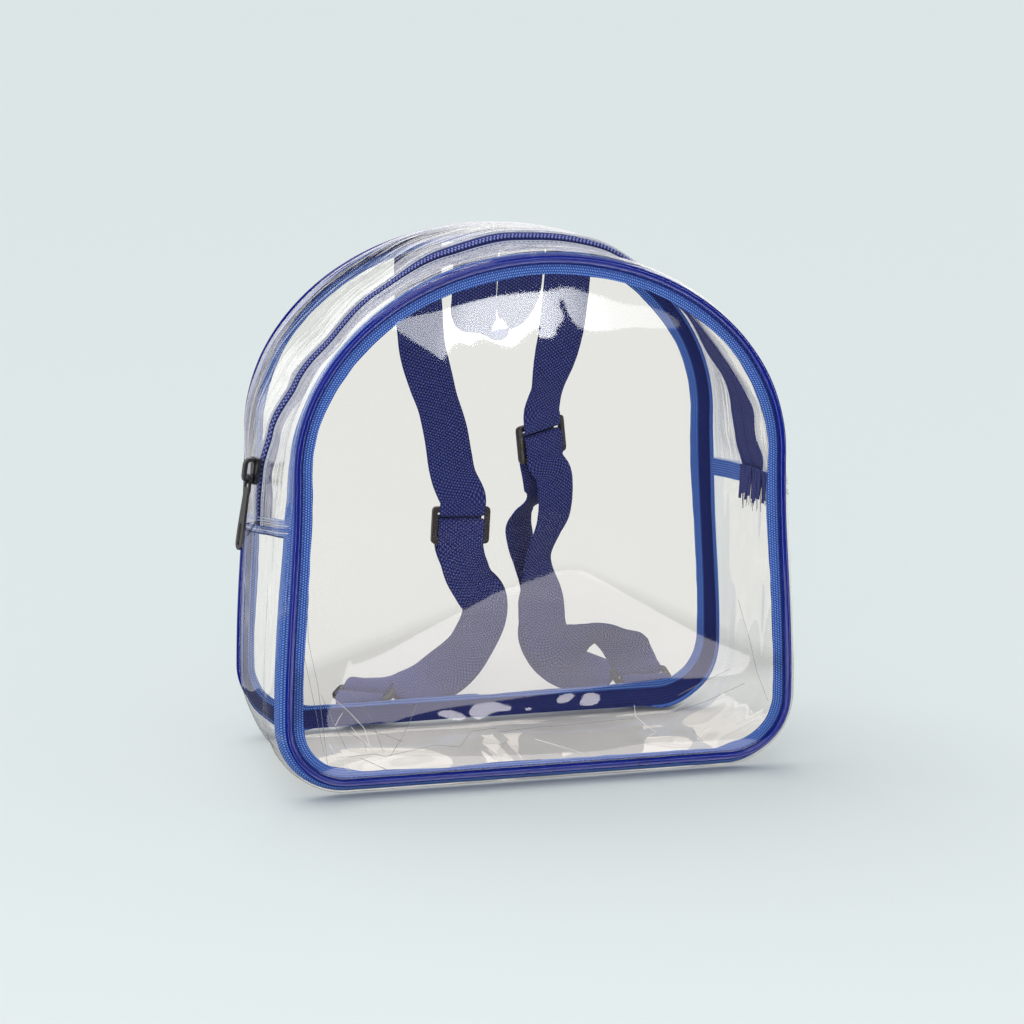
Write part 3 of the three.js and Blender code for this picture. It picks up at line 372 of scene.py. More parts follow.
def clear_material(name, tint, haze=0.01, fine=0.25, coarse=0.5, shine=0.05, slant=0.62, fog=0.03, seed=0.0, streaks=0.0, low=None, shade_patches=0.0):
    """Thin clear sheet: sees through, mirrors a little, more at a slant, with creases and faint haze."""
    M = Mat(name)
    shifted = M.node("ShaderNodeMapping")
    M.put(shifted.inputs["Vector"], M.coords())
    shifted.inputs["Location"].default_value = (seed, seed * 0.7, seed * 1.3)
    co = shifted.outputs[0]
    slow = M.noise(co, 9.0, 2.0, 0.45)
    normal = None
    if fine:
        mid = M.noise(M.mapped(co, (1.0, 0.6, 1.0)), 34.0, 3.0, 0.5, 0.6)
        crease = M.node("ShaderNodeTexVoronoi", feature="DISTANCE_TO_EDGE")
        M.put(crease.inputs["Vector"], M.mapped(co, (1.0, 0.55, 1.0)))
        crease.inputs["Scale"].default_value = 13.0
        line = M.math("SUBTRACT", 1.0, M.math("MULTIPLY", crease.outputs["Distance"], 26.0, clamp=True), clamp=True)
        line = M.math("MULTIPLY", line, M.math("GREATER_THAN", slow, 0.56))
        normal = M.bump(line, 0.3, 0.0006, M.bump(mid, fine, 0.0016, M.bump(slow, coarse, 0.010)))
    if streaks:
        # long soft folds that follow the zip
        u, v = M.uv()
        comb = M.node("ShaderNodeCombineXYZ")
        M.put(comb.inputs[0], M.math("MULTIPLY", u, 14.0))
        M.put(comb.inputs[1], M.math("MULTIPLY", v, 150.0))
        normal = M.bump(M.noise(comb.outputs[0], 1.0, 3.0, 0.55, 0.5), streaks, 0.0040, normal)
    lw = M.node("ShaderNodeLayerWeight")
    if normal is not None:
        M.put(lw.inputs["Normal"], normal)
    facing = lw.outputs["Facing"]
    refl = M.math("ADD", shine, M.math("MULTIPLY", slant, M.math("POWER", facing, 3.4)), clamp=True)
    clear = M.node("ShaderNodeBsdfTransparent")
    clear.inputs["Color"].default_value = tint
    if low is not None:
        # painted shade: the see-through tint is mixed to a darker one below two slanted lines and above a third, where
        # the panel mirrors the table
        sep = M.node("ShaderNodeSeparateXYZ")
        M.put(sep.inputs[0], M.coords())
        x, z = sep.outputs[0], sep.outputs[2]
        shade_zone = None
        for height, slope, way in low:
            edge = M.math("SUBTRACT", M.math("MULTIPLY_ADD", x, slope, height), z)
            part = M.math("MULTIPLY_ADD", edge, way / 0.010, 0.5, clamp=True)
            shade_zone = part if shade_zone is None else M.math("MULTIPLY", shade_zone, part)
        M.put(clear.inputs["Color"], M.mix(shade_zone, tint, PAINTED_SHADE_TINT))
    # painted shade: noise spots darken the see-through tint, only in the lowest few centimetres, for shade in the
    # folds of the bag's floor
    if shade_patches:
        shade_spots = M.noise(M.mapped(co, (1.0, 1.0, 0.6)), 23.0, 1.0, 0.4, 0.8)
        shade_spots = M.math("MULTIPLY", M.math("SUBTRACT", shade_spots, 0.50), 14.0, clamp=True)
        sep = M.node("ShaderNodeSeparateXYZ")
        M.put(sep.inputs[0], M.coords())
        shade_spots = M.math("MULTIPLY", shade_spots, M.math("MULTIPLY_ADD", sep.outputs[2], -60.0, 1.6, clamp=True))
        patch_shade_tint = tuple(c * (1 - shade_patches) for c in tint[:3]) + (1.0,)
        M.put(clear.inputs["Color"], M.mix(shade_spots, tint, patch_shade_tint))
    gloss = M.node("ShaderNodeBsdfGlossy")
    gloss.inputs["Roughness"].default_value = 0.03
    gloss.inputs["Color"].default_value = (1, 1, 1, 1)
    if normal is not None:
        M.put(gloss.inputs["Normal"], normal)
    film = M.node("ShaderNodeMixShader")
    M.put(film.inputs[0], refl)
    M.put(film.inputs[1], clear.outputs[0])
    M.put(film.inputs[2], gloss.outputs[0])
    dust = M.node("ShaderNodeBsdfDiffuse")
    dust.inputs["Color"].default_value = (0.93, 0.92, 0.90, 1)
    amount = M.math("ADD", haze, M.math("MULTIPLY", fog, M.math("POWER", facing, 2.5)), clamp=True)
    if fine:
        amount = M.math("ADD", amount, M.math("MULTIPLY", line, 0.06), clamp=True)
    both = M.node("ShaderNodeMixShader")
    M.put(both.inputs[0], amount)
    M.put(both.inputs[1], film.outputs[0])
    M.put(both.inputs[2], dust.outputs[0])
    return M.done(both.outputs[0])


def edge_glint_material():
    """Folded or cut edge of the clear sheet, drawn as a fine line whose pale body colour is a painted highlight,
    besides its own gloss.
    """
    M = Mat("painted_edge_glint")
    v = M.noise(M.coords(), 60.0, 2.0)
    clear = M.node("ShaderNodeBsdfTransparent")
    body = M.principled(rgb(0.86, 0.87, 0.90), 0.2)
    mixer = M.node("ShaderNodeMixShader")
    M.put(mixer.inputs[0], M.math("MULTIPLY_ADD", v, 0.5, 0.35, clamp=True))
    M.put(mixer.inputs[1], clear.outputs[0])
    M.put(mixer.inputs[2], body)
    return M.done(mixer.outputs[0])


def crease_material(name, color, most):
    """Fold mark in the clear sheet drawn in a flat colour that stands in for light, grey for painted crease shade and
    white for a painted glint: a faint line that fades along its length.
    """
    M = Mat(name)
    v = M.noise(M.coords(), 45.0, 2.0)
    clear = M.node("ShaderNodeBsdfTransparent")
    body = M.principled(color, 0.35)
    mixer = M.node("ShaderNodeMixShader")
    M.put(mixer.inputs[0], M.math("MULTIPLY", v, most, clamp=True))
    M.put(mixer.inputs[1], clear.outputs[0])
    M.put(mixer.inputs[2], body)
    return M.done(mixer.outputs[0])


def cloth_material(name, dark, light, pitch_u, pitch_v, rough=0.8, depth=0.00025, shift=0.5, sharp=1.4, tint=None, gain=1.0, plain=None):
    """Woven tape or webbing: threads in a staggered grid read from UVs in metres, the raised thread tops painted
    lighter as a painted highlight over the real weave bump; plain lists flat dark zones laid over the weave, on the
    binding painted shade.
    """
    M = Mat(name)
    u, v = M.uv()
    a = M.math("DIVIDE", u, pitch_u)
    row = M.math("FLOOR", a)
    b = M.math("ADD", M.math("DIVIDE", v, pitch_v), M.math("MULTIPLY", row, shift))
    ha = M.math("ABSOLUTE", M.math("SINE", M.math("MULTIPLY", a, math.pi)))
    hb = M.math("ABSOLUTE", M.math("SINE", M.math("MULTIPLY", b, math.pi)))
    h = M.math("MULTIPLY", M.math("POWER", ha, 0.6), M.math("POWER", hb, sharp))
    grain = M.noise(M.coords(), 900.0, 2.0)
    patch = M.noise(M.coords(), 22.0, 3.0)
    # painted highlight and shade: the raised thread tops take the light colour and the hollows keep the dark one
    thread_top_highlight = M.math("MULTIPLY", M.math("POWER", h, 1.8), M.math("MULTIPLY_ADD", grain, 0.9 * gain, 0.35 * gain), clamp=True)
    # random tone patches between the dark colour and its tint
    woven_tone = M.mix(M.math("MULTIPLY_ADD", patch, 0.55, -0.12, clamp=True), dark, tint or dark)
    col = M.mix(thread_top_highlight, woven_tone, light)
    if plain is not None:
        # each plain zone lays a flat colour over the weave; on the binding these carry painted shade
        for low_u, high_u, low_v, high_v, amount, zone_color in plain:
            across_u = M.math("MULTIPLY", M.math("MULTIPLY", M.math("SUBTRACT", u, low_u), 2000.0, clamp=True),
                              M.math("MULTIPLY", M.math("SUBTRACT", high_u, u), 2000.0, clamp=True))
            along_v = M.math("MULTIPLY", M.math("MULTIPLY", M.math("SUBTRACT", v, low_v), 20.0, clamp=True),
                             M.math("MULTIPLY", M.math("SUBTRACT", high_v, v), 20.0, clamp=True))
            col = M.mix(M.math("MULTIPLY", M.math("MULTIPLY", across_u, along_v), amount), col, zone_color)
    n = M.bump(M.math("ADD", h, M.math("MULTIPLY", grain, 0.4)), 0.55, depth)
    return M.done(M.principled(col, rough, n, Specular_IOR_Level=0.15, Sheen_Weight=0.03))


def vinyl_material():
    M = Mat("piping_vinyl")
    co = M.coords()
    patch = M.noise(co, 14.0, 3.0)
    fine = M.noise(co, 420.0, 2.0)
    col = M.mix(M.math("MULTIPLY_ADD", patch, 1.2, -0.2, clamp=True), rgb(0.004, 0.010, 0.17), rgb(0.008, 0.024, 0.30))
    rough = M.math("MULTIPLY_ADD", patch, 0.06, 0.09)
    return M.done(M.principled(col, rough, M.bump(fine, 0.05, 0.0001), Specular_IOR_Level=0.42))


def metal_material():
    M = Mat("zip_metal_black")
    co = M.coords()
    wear = M.noise(co, 260.0, 4.0, 0.6)
    col = M.mix(M.math("MULTIPLY_ADD", wear, 2.6, -1.35, clamp=True), rgb(0.010, 0.010, 0.012), rgb(0.075, 0.075, 0.085))
    rough = M.math("MULTIPLY_ADD", wear, 0.25, 0.22)
    return M.done(M.principled(col, rough, M.bump(wear, 0.1, 0.0002), Specular_IOR_Level=0.65))


def plastic_material():
    M = Mat("buckle_plastic")
    co = M.coords()
    grain = M.noise(co, 700.0, 3.0)
    patch = M.noise(co, 60.0, 2.0)
    col = M.mix(patch, rgb(0.010, 0.010, 0.011), rgb(0.026, 0.026, 0.028))
    return M.done(M.principled(col, M.math("MULTIPLY_ADD", patch, 0.2, 0.38), M.bump(grain, 0.25, 0.0002)))


def thread_material(name, col):
    M = Mat(name)
    v = M.noise(M.coords(), 1500.0, 2.0)
    return M.done(M.principled(M.mix(v, col, rgb(*[c * 0.6 for c in col[:3]])), 0.75, M.bump(v, 0.4, 0.0001), Specular_IOR_Level=0.2))


# The see-through tints above 1, here and on the gussets below, make what shows through the sheets brighter and warmer
# than it is: painted light.
BRIGHTENING_TINT, PAINTED_SHADE_TINT = (1.07, 1.025, 1.0, 1), (0.87, 0.83, 0.81, 1)
# low gives the zones where the front panel's see-through tint turns to the darker painted shade tint.
panel_clear = clear_material("clear_panel", BRIGHTENING_TINT, haze=0.004, fine=0, shine=0.055, slant=0.5, fog=0.02, low=((0.1274, 0.33, 1), (0.1438, -0.49, 1), (0.0540, 0.05, -1)))
back_clear = clear_material("clear_panel_back", BRIGHTENING_TINT, haze=0.004, fine=0, shine=0.003, slant=0.3, fog=0.02)
side_clear = clear_material("clear_gusset", (1.03, 1.01, 0.99, 1), haze=0.012, fine=0.12, coarse=0.4, shine=0.06, slant=0.35, fog=0.05, seed=3.1, shade_patches=0.03)
top_clear = clear_material("clear_gusset_top", (1.03, 1.01, 0.99, 1), haze=0.012, fine=0.15, coarse=0.5, shine=0.06, slant=0.95, fog=0.06, seed=5.3, streaks=0.35)
edge_glint_mat = edge_glint_material()
crease_shade_mat = crease_material("painted_crease_shade", rgb(0.30, 0.30, 0.32), 0.95)
crease_glint_mat = crease_material("painted_crease_glint", rgb(0.93, 0.93, 0.93), 0.95)
vinyl = vinyl_material()
INSIDE_SHADE_NAVY, DEEP = rgb(0.007, 0.010, 0.11), rgb(0.012, 0.026, 0.27)
# binding_weave's plain zones: most of the inside face round the fold is painted navy shade, a strip on the panel side
# next to the cord is painted shade of the valley beside it, and the gusset-side leg from the upper sides over the top
# is a deeper blue.
binding_mat = cloth_material("binding_weave", rgb(0.004, 0.018, 0.23), rgb(0.19, 0.42, 1.0), 0.0015, 0.0015, rough=0.75, depth=0.0004, sharp=1.0, tint=rgb(0.009, 0.044, 0.45), gain=1.35,
                             plain=((-0.0044, 0.0075, 5.0, 20.0, 0.93, INSIDE_SHADE_NAVY), (0.0010, 0.0078, 0.26, 0.66, 0.9, DEEP), (-0.0034, -0.0015, -1.0, 5.0, 0.8, DEEP)))
seam_mat = cloth_material("seam_tape_weave", rgb(0.005, 0.018, 0.23), rgb(0.19, 0.42, 1.0), 0.0015, 0.0015, rough=0.75, depth=0.0004, sharp=1.0, tint=rgb(0.010, 0.045, 0.45), gain=1.35)
zip_mat = cloth_material("zip_tape_weave", rgb(0.009, 0.013, 0.115), rgb(0.10, 0.14, 0.45), 0.0011, 0.0014, tint=rgb(0.014, 0.020, 0.17))
coil_mat = cloth_material("zip_coil_nylon", rgb(0.005, 0.008, 0.085), rgb(0.26, 0.31, 0.75), 0.0030, 0.0022, rough=0.5, sharp=2.0, tint=rgb(0.007, 0.010, 0.12), gain=1.6)
web_mat = cloth_material("webbing_weave", rgb(0.004, 0.007, 0.080), rgb(0.105, 0.165, 0.60), 0.0016, 0.0022, depth=0.0006, sharp=1.6, tint=rgb(0.009, 0.019, 0.17), gain=0.92)
metal = metal_material()
plastic = plastic_material()
white_thread = thread_material("thread_pale", rgb(0.62, 0.68, 0.88))
dark_thread = thread_material("thread_dark", rgb(0.010, 0.011, 0.03))
blue_thread = thread_material("thread_blue", rgb(0.05, 0.08, 0.42))


# ------------------------------------------------------------------ stations
def ring_w(n):
    return np.linspace(0, 2, n, endpoint=False)


def span(a, b, step):
    return np.linspace(a, b, int(abs(b - a) * HALF_LEN / step) + 2)


# ------------------------------------------------------------------ clear panels
def panel_bulge(x, z, k, front):
    u, v = x / 150.0, (z - FOOT - 150) / 150.0
    seed = 11 if front else 12
    base = 2.5 * (1 - k * k)
    ease = np.clip((1 - k) * 6, 0, 1)
    slack = 0.55 * waves(u * 2.2, v * 2.2, seed) + 0.03 * waves(u * 6, v * 6, seed + 20)
    # the sheet is baggier along the foot
    foot = window(v, -1.2, -0.72, 0.16) * 0.28 * waves(u * 7, v * 5, seed + 40)
    return base + ease * (slack + foot)


def clear_panel(name, front, mat):
    ws, ks = ring_w(420), np.concatenate([np.linspace(1, 0.86, 12), np.linspace(0.86, 0.03, 40)[1:]])
    x, z = outline(ws)
    nx, nz = outline_normal(ws)
    mid = FOOT + 150
    P = np.zeros((len(ks), len(ws), 3))
    for i, k in enumerate(ks):
        px, pz = (x - nx * 2.5) * k, mid + (z - nz * 2.5 - mid) * k
        b = panel_bulge(px, pz, k, front)
        P[i] = np.stack([px, -b if front else DEPTH + b, pz], -1)
    verts = P.reshape(-1, 3)
    faces = grid_faces(len(ks), len(ws), False, True, flip=not front)
    centre = P[-1].mean(0)
    verts = np.vstack([verts, centre])
    base, c = (len(ks) - 1) * len(ws), len(verts) - 1
    for j in range(len(ws)):
        a, b = base + j, base + (j + 1) % len(ws)
        faces.append((a, b, c) if not front else (a, c, b))
    ob = new_mesh(name, verts, faces, mat, smooth=0)
    return ob


front_panel = clear_panel("clear_front", True, panel_clear)
back_panel = clear_panel("clear_back", False, back_clear)


# ------------------------------------------------------------------ clear gussets
def gusset_sheet(name, ws, ya, yb, rows, mat, depth=0.25):
    W = ws[:, None] * np.ones((1, rows))
    start = ya(ws) if callable(ya) else np.full(len(ws), ya)
    end = yb(ws) if callable(yb) else np.full(len(ws), yb)
    t = np.linspace(0, 1, rows)
    t = t if rows < 10 else t
    Y = start[:, None] * (1 - t) + end[:, None] * t
    P = gusset_point(W, Y, depth)
    P[..., 2] = np.maximum(P[..., 2], 0.15)
    uv = np.stack([W * HALF_LEN / 1000, Y / 1000], -1)
    return grid(name, P, mat, uv, smooth=0)


eps = 0.0006
front_edge = lambda w: gusset_start(w)
back_edge = lambda w: DEPTH - gusset_start(w, True)
strip_front = lambda w: 68.0 + 0.35 * waves(w * 20, w * 0, 31)
strip_back = lambda w: 82.0 + 0.35 * waves(w * 20, w * 0, 32)
gusset_bottom = gusset_sheet("clear_gusset_bottom", span(2 - SEAM_W + eps, 2 + SEAM_W - eps, 2.2), front_edge, back_edge, 74, side_clear)
top_w = span(SEAM_W + eps, 2 - SEAM_W - eps, 1.8)
gusset_front = gusset_sheet("clear_gusset_front", top_w, front_edge, strip_front, 40, top_clear)
gusset_back = gusset_sheet("clear_gusset_back", top_w, strip_back, back_edge, 40, top_clear)

# Folded hems of the clear strips beside the zip, and the cut edges at the side seams, each with a painted highlight
# along it.
hem_lines = []
for edge, step in ((strip_front, -1), (strip_back, 1)):
    y = edge(top_w)
    hem_lines.append(gusset_point(top_w, y, 0.15))
    hem_lines.append(gusset_point(top_w, y + step * 4.2, 0.1))
for w0 in (SEAM_W, 2 - SEAM_W):
    for dw in (-2.2, 2.2):
        ys = np.linspace(3, DEPTH - 3, 120)
        w = np.full_like(ys, w0 + dw / HALF_LEN)
        hem_lines.append(gusset_point(w, ys, 0.15))
hems = wires("clear_hems", hem_lines, 0.28, edge_glint_mat, 5)

# ------------------------------------------------------------------ piping
def piping(name, y0, seed):
    ws = ring_w(760)
    x, z = outline(ws)
    nx, nz = outline_normal(ws)
    s = ws * HALF_LEN
    r = BEAD_R * (1 + 0.03 * waves(s / 14, s * 0, seed) + 0.015 * waves(s / 4, s * 0, seed + 1))
    th = np.linspace(0, 2 * math.pi, 18, endpoint=False)
    n = r[:, None] * np.sin(th)[None]
    y = r[:, None] * np.cos(th)[None]
    P = np.stack([x[:, None] + nx[:, None] * n, y0 + y, z[:, None] + nz[:, None] * n], -1)
    uv = np.stack([np.broadcast_to(th[None] / 6.283 * 0.0138, n.shape), np.broadcast_to(s[:, None] / 1000, n.shape)], -1)
    return grid(name, P, vinyl, uv, True, True, smooth=0)


pipe_front = piping("piping_cord_front", 0.0, 51)
pipe_back = piping("piping_cord_back", DEPTH, 52)

# Where each cord's two ends meet at the foot: a small dark butt joint.
joint_lines = []
for y0 in (0.0, DEPTH):
    for w0, tilt in ((0.012, 0.0), (0.112, 0.0), (0.121, 0.35)):
        pts = []
        for a in np.linspace(-2.3, 1.0, 9):
            x, z = outline(w0)
            sgn = -1 if y0 == 0 else 1
            pts.append((float(x) + tilt * 2 * math.sin(a), y0 + sgn * (BEAD_R + 0.12) * math.cos(a), float(z) - (BEAD_R + 0.12) * math.sin(a)))
        joint_lines.append(pts)
cord_joints = wires("piping_joints", joint_lines, 0.22, dark_thread, 5)


# ------------------------------------------------------------------ woven binding
def binding(name, back, seed):
    ws = ring_w(900)
    s = ws * HALF_LEN
    inner = 0.8
    foot = 1 - window(ws, 0.20, 1.80, 0.03)
    leg = 9.0 + 0.7 * waves(s / 24, s * 0, seed) + 0.2 * waves(s / 5, s * 0, seed + 1)
    gleg = 10.5 + 0.5 * waves(s / 28, s * 0, seed + 2)
    if back:
        gleg = gleg - 4.2 * foot
        leg = leg - 1.6 * foot * (1 + 0.5 * waves(s / 60, s * 0, seed + 9))
    else:
        leg = leg - 3.4 * foot
    x, z = outline(ws)
    nx, nz = outline_normal(ws)
    high = lambda y: rise(ws, DEPTH - y if back else y)

    def deep(y, d):
        e = 0.2
        slope = (high(y + e) - high(y - e)) / (2 * e)
        l = np.hypot(1, slope)
        return y + d * slope / l, high(y) - d / l

    puff = 0.12 * waves(s / 9, s * 0, seed + 3)
    one = np.ones_like(s)
    # (how far from the fold: panel side negative, gusset side positive; depth; outward)
    outer = [(-leg, inner * one, -leg), (-0.5 * leg, inner * one, -0.5 * leg), (-3.0 * one, inner * one, -3.0 * one), (0 * one, inner + 1.9 * one, -0.9 * one)]
    outer += [(y, *deep(y, 1.5)) for y in (4.4 * one, np.minimum(7.0, gleg - 1.2), gleg)]
    inside = [(y, *deep(y, d)) for y, d in ((gleg, 2.2 + puff), (np.minimum(7.0, gleg - 1.2), 2.3 + puff), (5.2 * one, 2.4 * one))]
    inside += [(0 * one, (inner + 2.9) * one, -1.4 * one), (-3.6 * one, inner + 0.9 + puff, -3.6 * one), (-0.5 * leg, inner + 0.85 + puff, -0.5 * leg), (-leg, (inner + 0.7) * one, -leg)]
    P, U, V = [], [], []
    for i, (u, y, n) in enumerate(outer + inside):
        P.append(np.stack([x + nx * n, (DEPTH - y) if back else y, z + nz * n], -1))
        U.append(u)
        V.append(s / 1000 + (10.0 if i >= len(outer) else 0.0))
    P, U = np.stack(P, 1), np.stack(U, 1)
    uv = np.stack([U / 1000, np.stack(V, 1)], -1)
    return grid(name, P, binding_mat, uv, True, True, flip=back, smooth=50)


bind_front = binding("binding_tape_front", False, 61)
bind_back = binding("binding_tape_back", True, 71)

# Stitching that holds the binding, on the panel side just inside the piping.
stitch_lines = []
for y0, sgn in ((0.0, -1), (DEPTH, 1)):
    ws = span(0.0, 2.0, 1.0)
    x, z = outline(ws)
    nx, nz = outline_normal(ws)
    k = 0.96
    line = np.stack([x - nx * 3.6, np.full_like(x, y0 + sgn * 0.55), z - nz * 3.6], -1)
    stitch_lines += dashes(line, 3.4, 2.3)
bind_stitch = wires("binding_stitches", stitch_lines, 0.2, blue_thread, 5)

# ------------------------------------------------------------------ zip
def zip_tape(name, back, seed):
    ws = span(SEAM_W + eps, 2 - SEAM_W - eps, 1.2)
    s = ws * HALF_LEN
    free = 59.0 + 0.9 * waves(s / 16, s * 0, seed) + 0.5 * waves(s / 6, s * 0, seed + 1)
    # the slack tape curls out from under the strip in a few places
    for at, wide, amount in ((1.305, 0.018, -7.5), (1.430, 0.022, -11.0), (1.385, 0.012, -5.0), (0.70, 0.03, -5.0), (0.63, 0.025, -7.0), (0.575, 0.02, -10.0), (0.84, 0.03, -2.0)):
        free = free + amount * np.exp(-((ws - at) / wide) ** 2) * (0.55 if back else 1.0)
    cols = 14
    t = np.linspace(0, 1, cols)
    Y = free[:, None] * (1 - t) + (74.75) * t
    curl = np.clip((free[:, None] + 3 - Y) / 6, 0, 1)
    D = 1.35 + 0.9 * curl * (1 + 0.6 * waves(s / 12, s * 0, seed + 5))[:, None]
    top = gusset_point(ws[:, None] * np.ones((1, cols)), Y, D)
    bottom = gusset_point(ws[:, None] * np.ones((1, cols)), Y, D + 0.8)
    P = np.concatenate([top, bottom[:, ::-1]], 1)
    if back:
        P[..., 1] = DEPTH - P[..., 1]
        mirrored = gusset_point(ws[:, None] * np.ones((1, cols)), DEPTH - Y, D)
        lower = gusset_point(ws[:, None] * np.ones((1, cols)), DEPTH - Y, D + 0.8)
        P = np.concatenate([mirrored, lower[:, ::-1]], 1)
    across = np.concatenate([Y, Y[:, ::-1]], 1) / 1000
    uv = np.stack([across, np.broadcast_to(s[:, None] / 1000, across.shape)], -1)
    return grid(name, P, zip_mat, uv, False, True, flip=back, smooth=50)


zip_front = zip_tape("zip_tape_cloth_front", False, 81)
zip_back = zip_tape("zip_tape_cloth_back", True, 85)

ws = span(SEAM_W + eps, 2 - SEAM_W - eps, 0.45)
s = ws * HALF_LEN
ys = np.array([-3.0, -2.9, -2.3, -1.4, -0.5, -0.12, 0.12, 0.5, 1.4, 2.3, 2.9, 3.0])
hump = 0.85 * np.sqrt(np.clip(1 - ((np.abs(ys) - 1.5) / 1.55) ** 2, 0, 1))
teeth = 0.16 * np.cos(2 * math.pi * s[:, None] / 1.5 + np.where(ys > 0, math.pi, 0)[None])
D = 0.9 - 1.55 * hump[None] - teeth * (np.abs(ys) > 0.3) * (np.abs(ys) < 2.8)
D[:, 0] = D[:, -1] = 1.0
top = gusset_point(ws[:, None] * np.ones((1, len(ys))), ZIP_Y + ys[None] + 0 * s[:, None], D)
low_row = gusset_point(ws[:, None] * np.ones((1, 2)), ZIP_Y + np.array([2.9, -2.9])[None] + 0 * s[:, None], 1.05)
P = np.concatenate([top, low_row], 1)
uv = np.stack([np.broadcast_to(np.append(ys, [2.9, -2.9])[None] / 1000, P.shape[:2]), np.broadcast_to(s[:, None] / 1000, P.shape[:2])], -1)
coil = grid("zip_coil_teeth", P, coil_mat, uv, False, True, smooth=50)

# Stitching along both clear strips beside the zip.
zip_stitch_lines = []
fine_w = span(SEAM_W + 0.004, 2 - SEAM_W - 0.004, 1.0)
for edge, step in ((strip_front, -1), (strip_back, 1)):
    zip_stitch_lines += dashes(gusset_point(fine_w, edge(fine_w) + step * 2.0, -0.05), 2.9, 1.9)
zip_stitch = wires("zip_stitches", zip_stitch_lines, 0.22, white_thread, 5)


# ------------------------------------------------------------------ side seams
def seam_tape(name, w0, seed):
    ys = np.linspace(11.6, DEPTH - 11.6, 90)
    d = np.linspace(-5.5, 5.5, 9)
    W = w0 + d[None] / HALF_LEN + 0 * ys[:, None]
    lift = 0.15 * waves(ys / 12, ys * 0, seed)[:, None]
    a = gusset_point(W, ys[:, None] + 0 * d[None], 2.75 + lift)
    b = gusset_point(W, ys[:, None] + 0 * d[None], 3.5 + lift)
    P = np.concatenate([a, b[:, ::-1]], 1)
    across = np.concatenate([d, d[::-1]]) / 1000
    uv = np.stack([np.broadcast_to(across[None], P.shape[:2]), np.broadcast_to(ys[:, None] / 1000, P.shape[:2])], -1)
    return grid(name, P, seam_mat, uv, False, True, smooth=50)


seam_right = seam_tape("seam_tape_weave_right", SEAM_W, 91)
seam_left = seam_tape("seam_tape_weave_left", 2 - SEAM_W, 92)
seam_pale, seam_dark = [], []
for w0, up in ((SEAM_W, 1), (2 - SEAM_W, -1)):
    ys = np.linspace(6, DEPTH - 6, 200)
    for off, group in ((3.6, seam_pale), (5.2, seam_pale), (-4.4, seam_dark)):
        w = np.full_like(ys, w0 + up * off / HALF_LEN)
        group += dashes(gusset_point(w, ys, -0.1), 2.8, 1.9)
seam_stitch_pale = wires("seam_stitches_pale", seam_pale, 0.26, white_thread, 5)
seam_stitch_dark = wires("seam_stitches_dark", seam_dark, 0.26, dark_thread, 5)


# Frayed ends of the zip tape below each side seam.
def zip_end(name, w0, down, seed):
    r = np.random.RandomState(seed)
    lines, verts, faces, uvs = [], [], [], []
    for k in range(14):
        y0 = 33 + k * 4.3 + r.uniform(-0.5, 0.5)
        length = r.uniform(17, 22)
        t = np.linspace(0, 1, 10)
        spread = (y0 - 60) * 0.05
        yy = y0 + spread * t ** 1.4 + r.uniform(-1, 1) * t
        w = w0 + down * (t * length - 6.0) / HALF_LEN
        dep = 4.2 + 1.6 * t * r.uniform(0.2, 1.6) + r.uniform(0, 0.6)
        half = r.uniform(2.0, 2.6) * (1 - 0.18 * t)
        base = len(verts)
        for i in range(10):
            for off, extra in ((-1, 0), (1, 0), (1, 0.5), (-1, 0.5)):
                verts.append(gusset_point(w[i], yy[i] + off * half[i], dep[i] + extra))
                uvs.append(((yy[i] + off * half[i]) / 1000, t[i] * length / 1000))
        f = grid_faces(10, 4, False, True)
        faces += [tuple(base + q for q in a) for a in f] + [tuple(base + q for q in (3, 2, 1, 0)), tuple(base + 36 + q for q in range(4))]
    ob = new_mesh(name, np.array(verts), faces, zip_mat, np.array(uvs))
    for k in range(34):
        y0 = r.uniform(33, 89)
        t = np.linspace(0, 1, 6)
        length = r.uniform(10, 22)
        w = w0 + down * t * length / HALF_LEN
        yy = y0 + (y0 - 60) * 0.06 * t + r.uniform(-1.5, 1.5) * t ** 2
        lines.append(gusset_point(w, yy, 4.4 + r.uniform(0, 1.8) * t))
    fr = wires(name + "_fray", lines, 0.13, dark_thread, 4)
    return ob, fr


zip_end_right, fray_right = zip_end("zip_end_right", SEAM_W, -1, 5)

# Loose thread ends beside the slider, outside the bag.
r = np.random.RandomState(17)
lines = []
for k in range(9):
    t = np.linspace(0, 1, 8)
    y0, z0 = 75 + r.uniform(-9, 6), r.uniform(160, 172)
    base = gusset_point(2 - SEAM_W - 0.004, y0, -0.3)
    out = r.uniform(3, 8)
    lines.append(np.stack([base[0] - out * t, base[1] + r.uniform(-3, 3) * t, base[2] + r.uniform(-9, 5) * t - 3 * t ** 2], -1))
thread_ends = wires("thread_ends", lines, 0.14, dark_thread, 4)


# ------------------------------------------------------------------ webbing
def across(lean, yaw):
    l, a = np.radians(lean), np.radians(yaw)
    return np.array([np.cos(a) * np.cos(l), np.sin(a), np.cos(a) * np.sin(l)])


def rows(table):
    return [(np.array(r[:3], float), across(r[3], r[4])) for r in table]


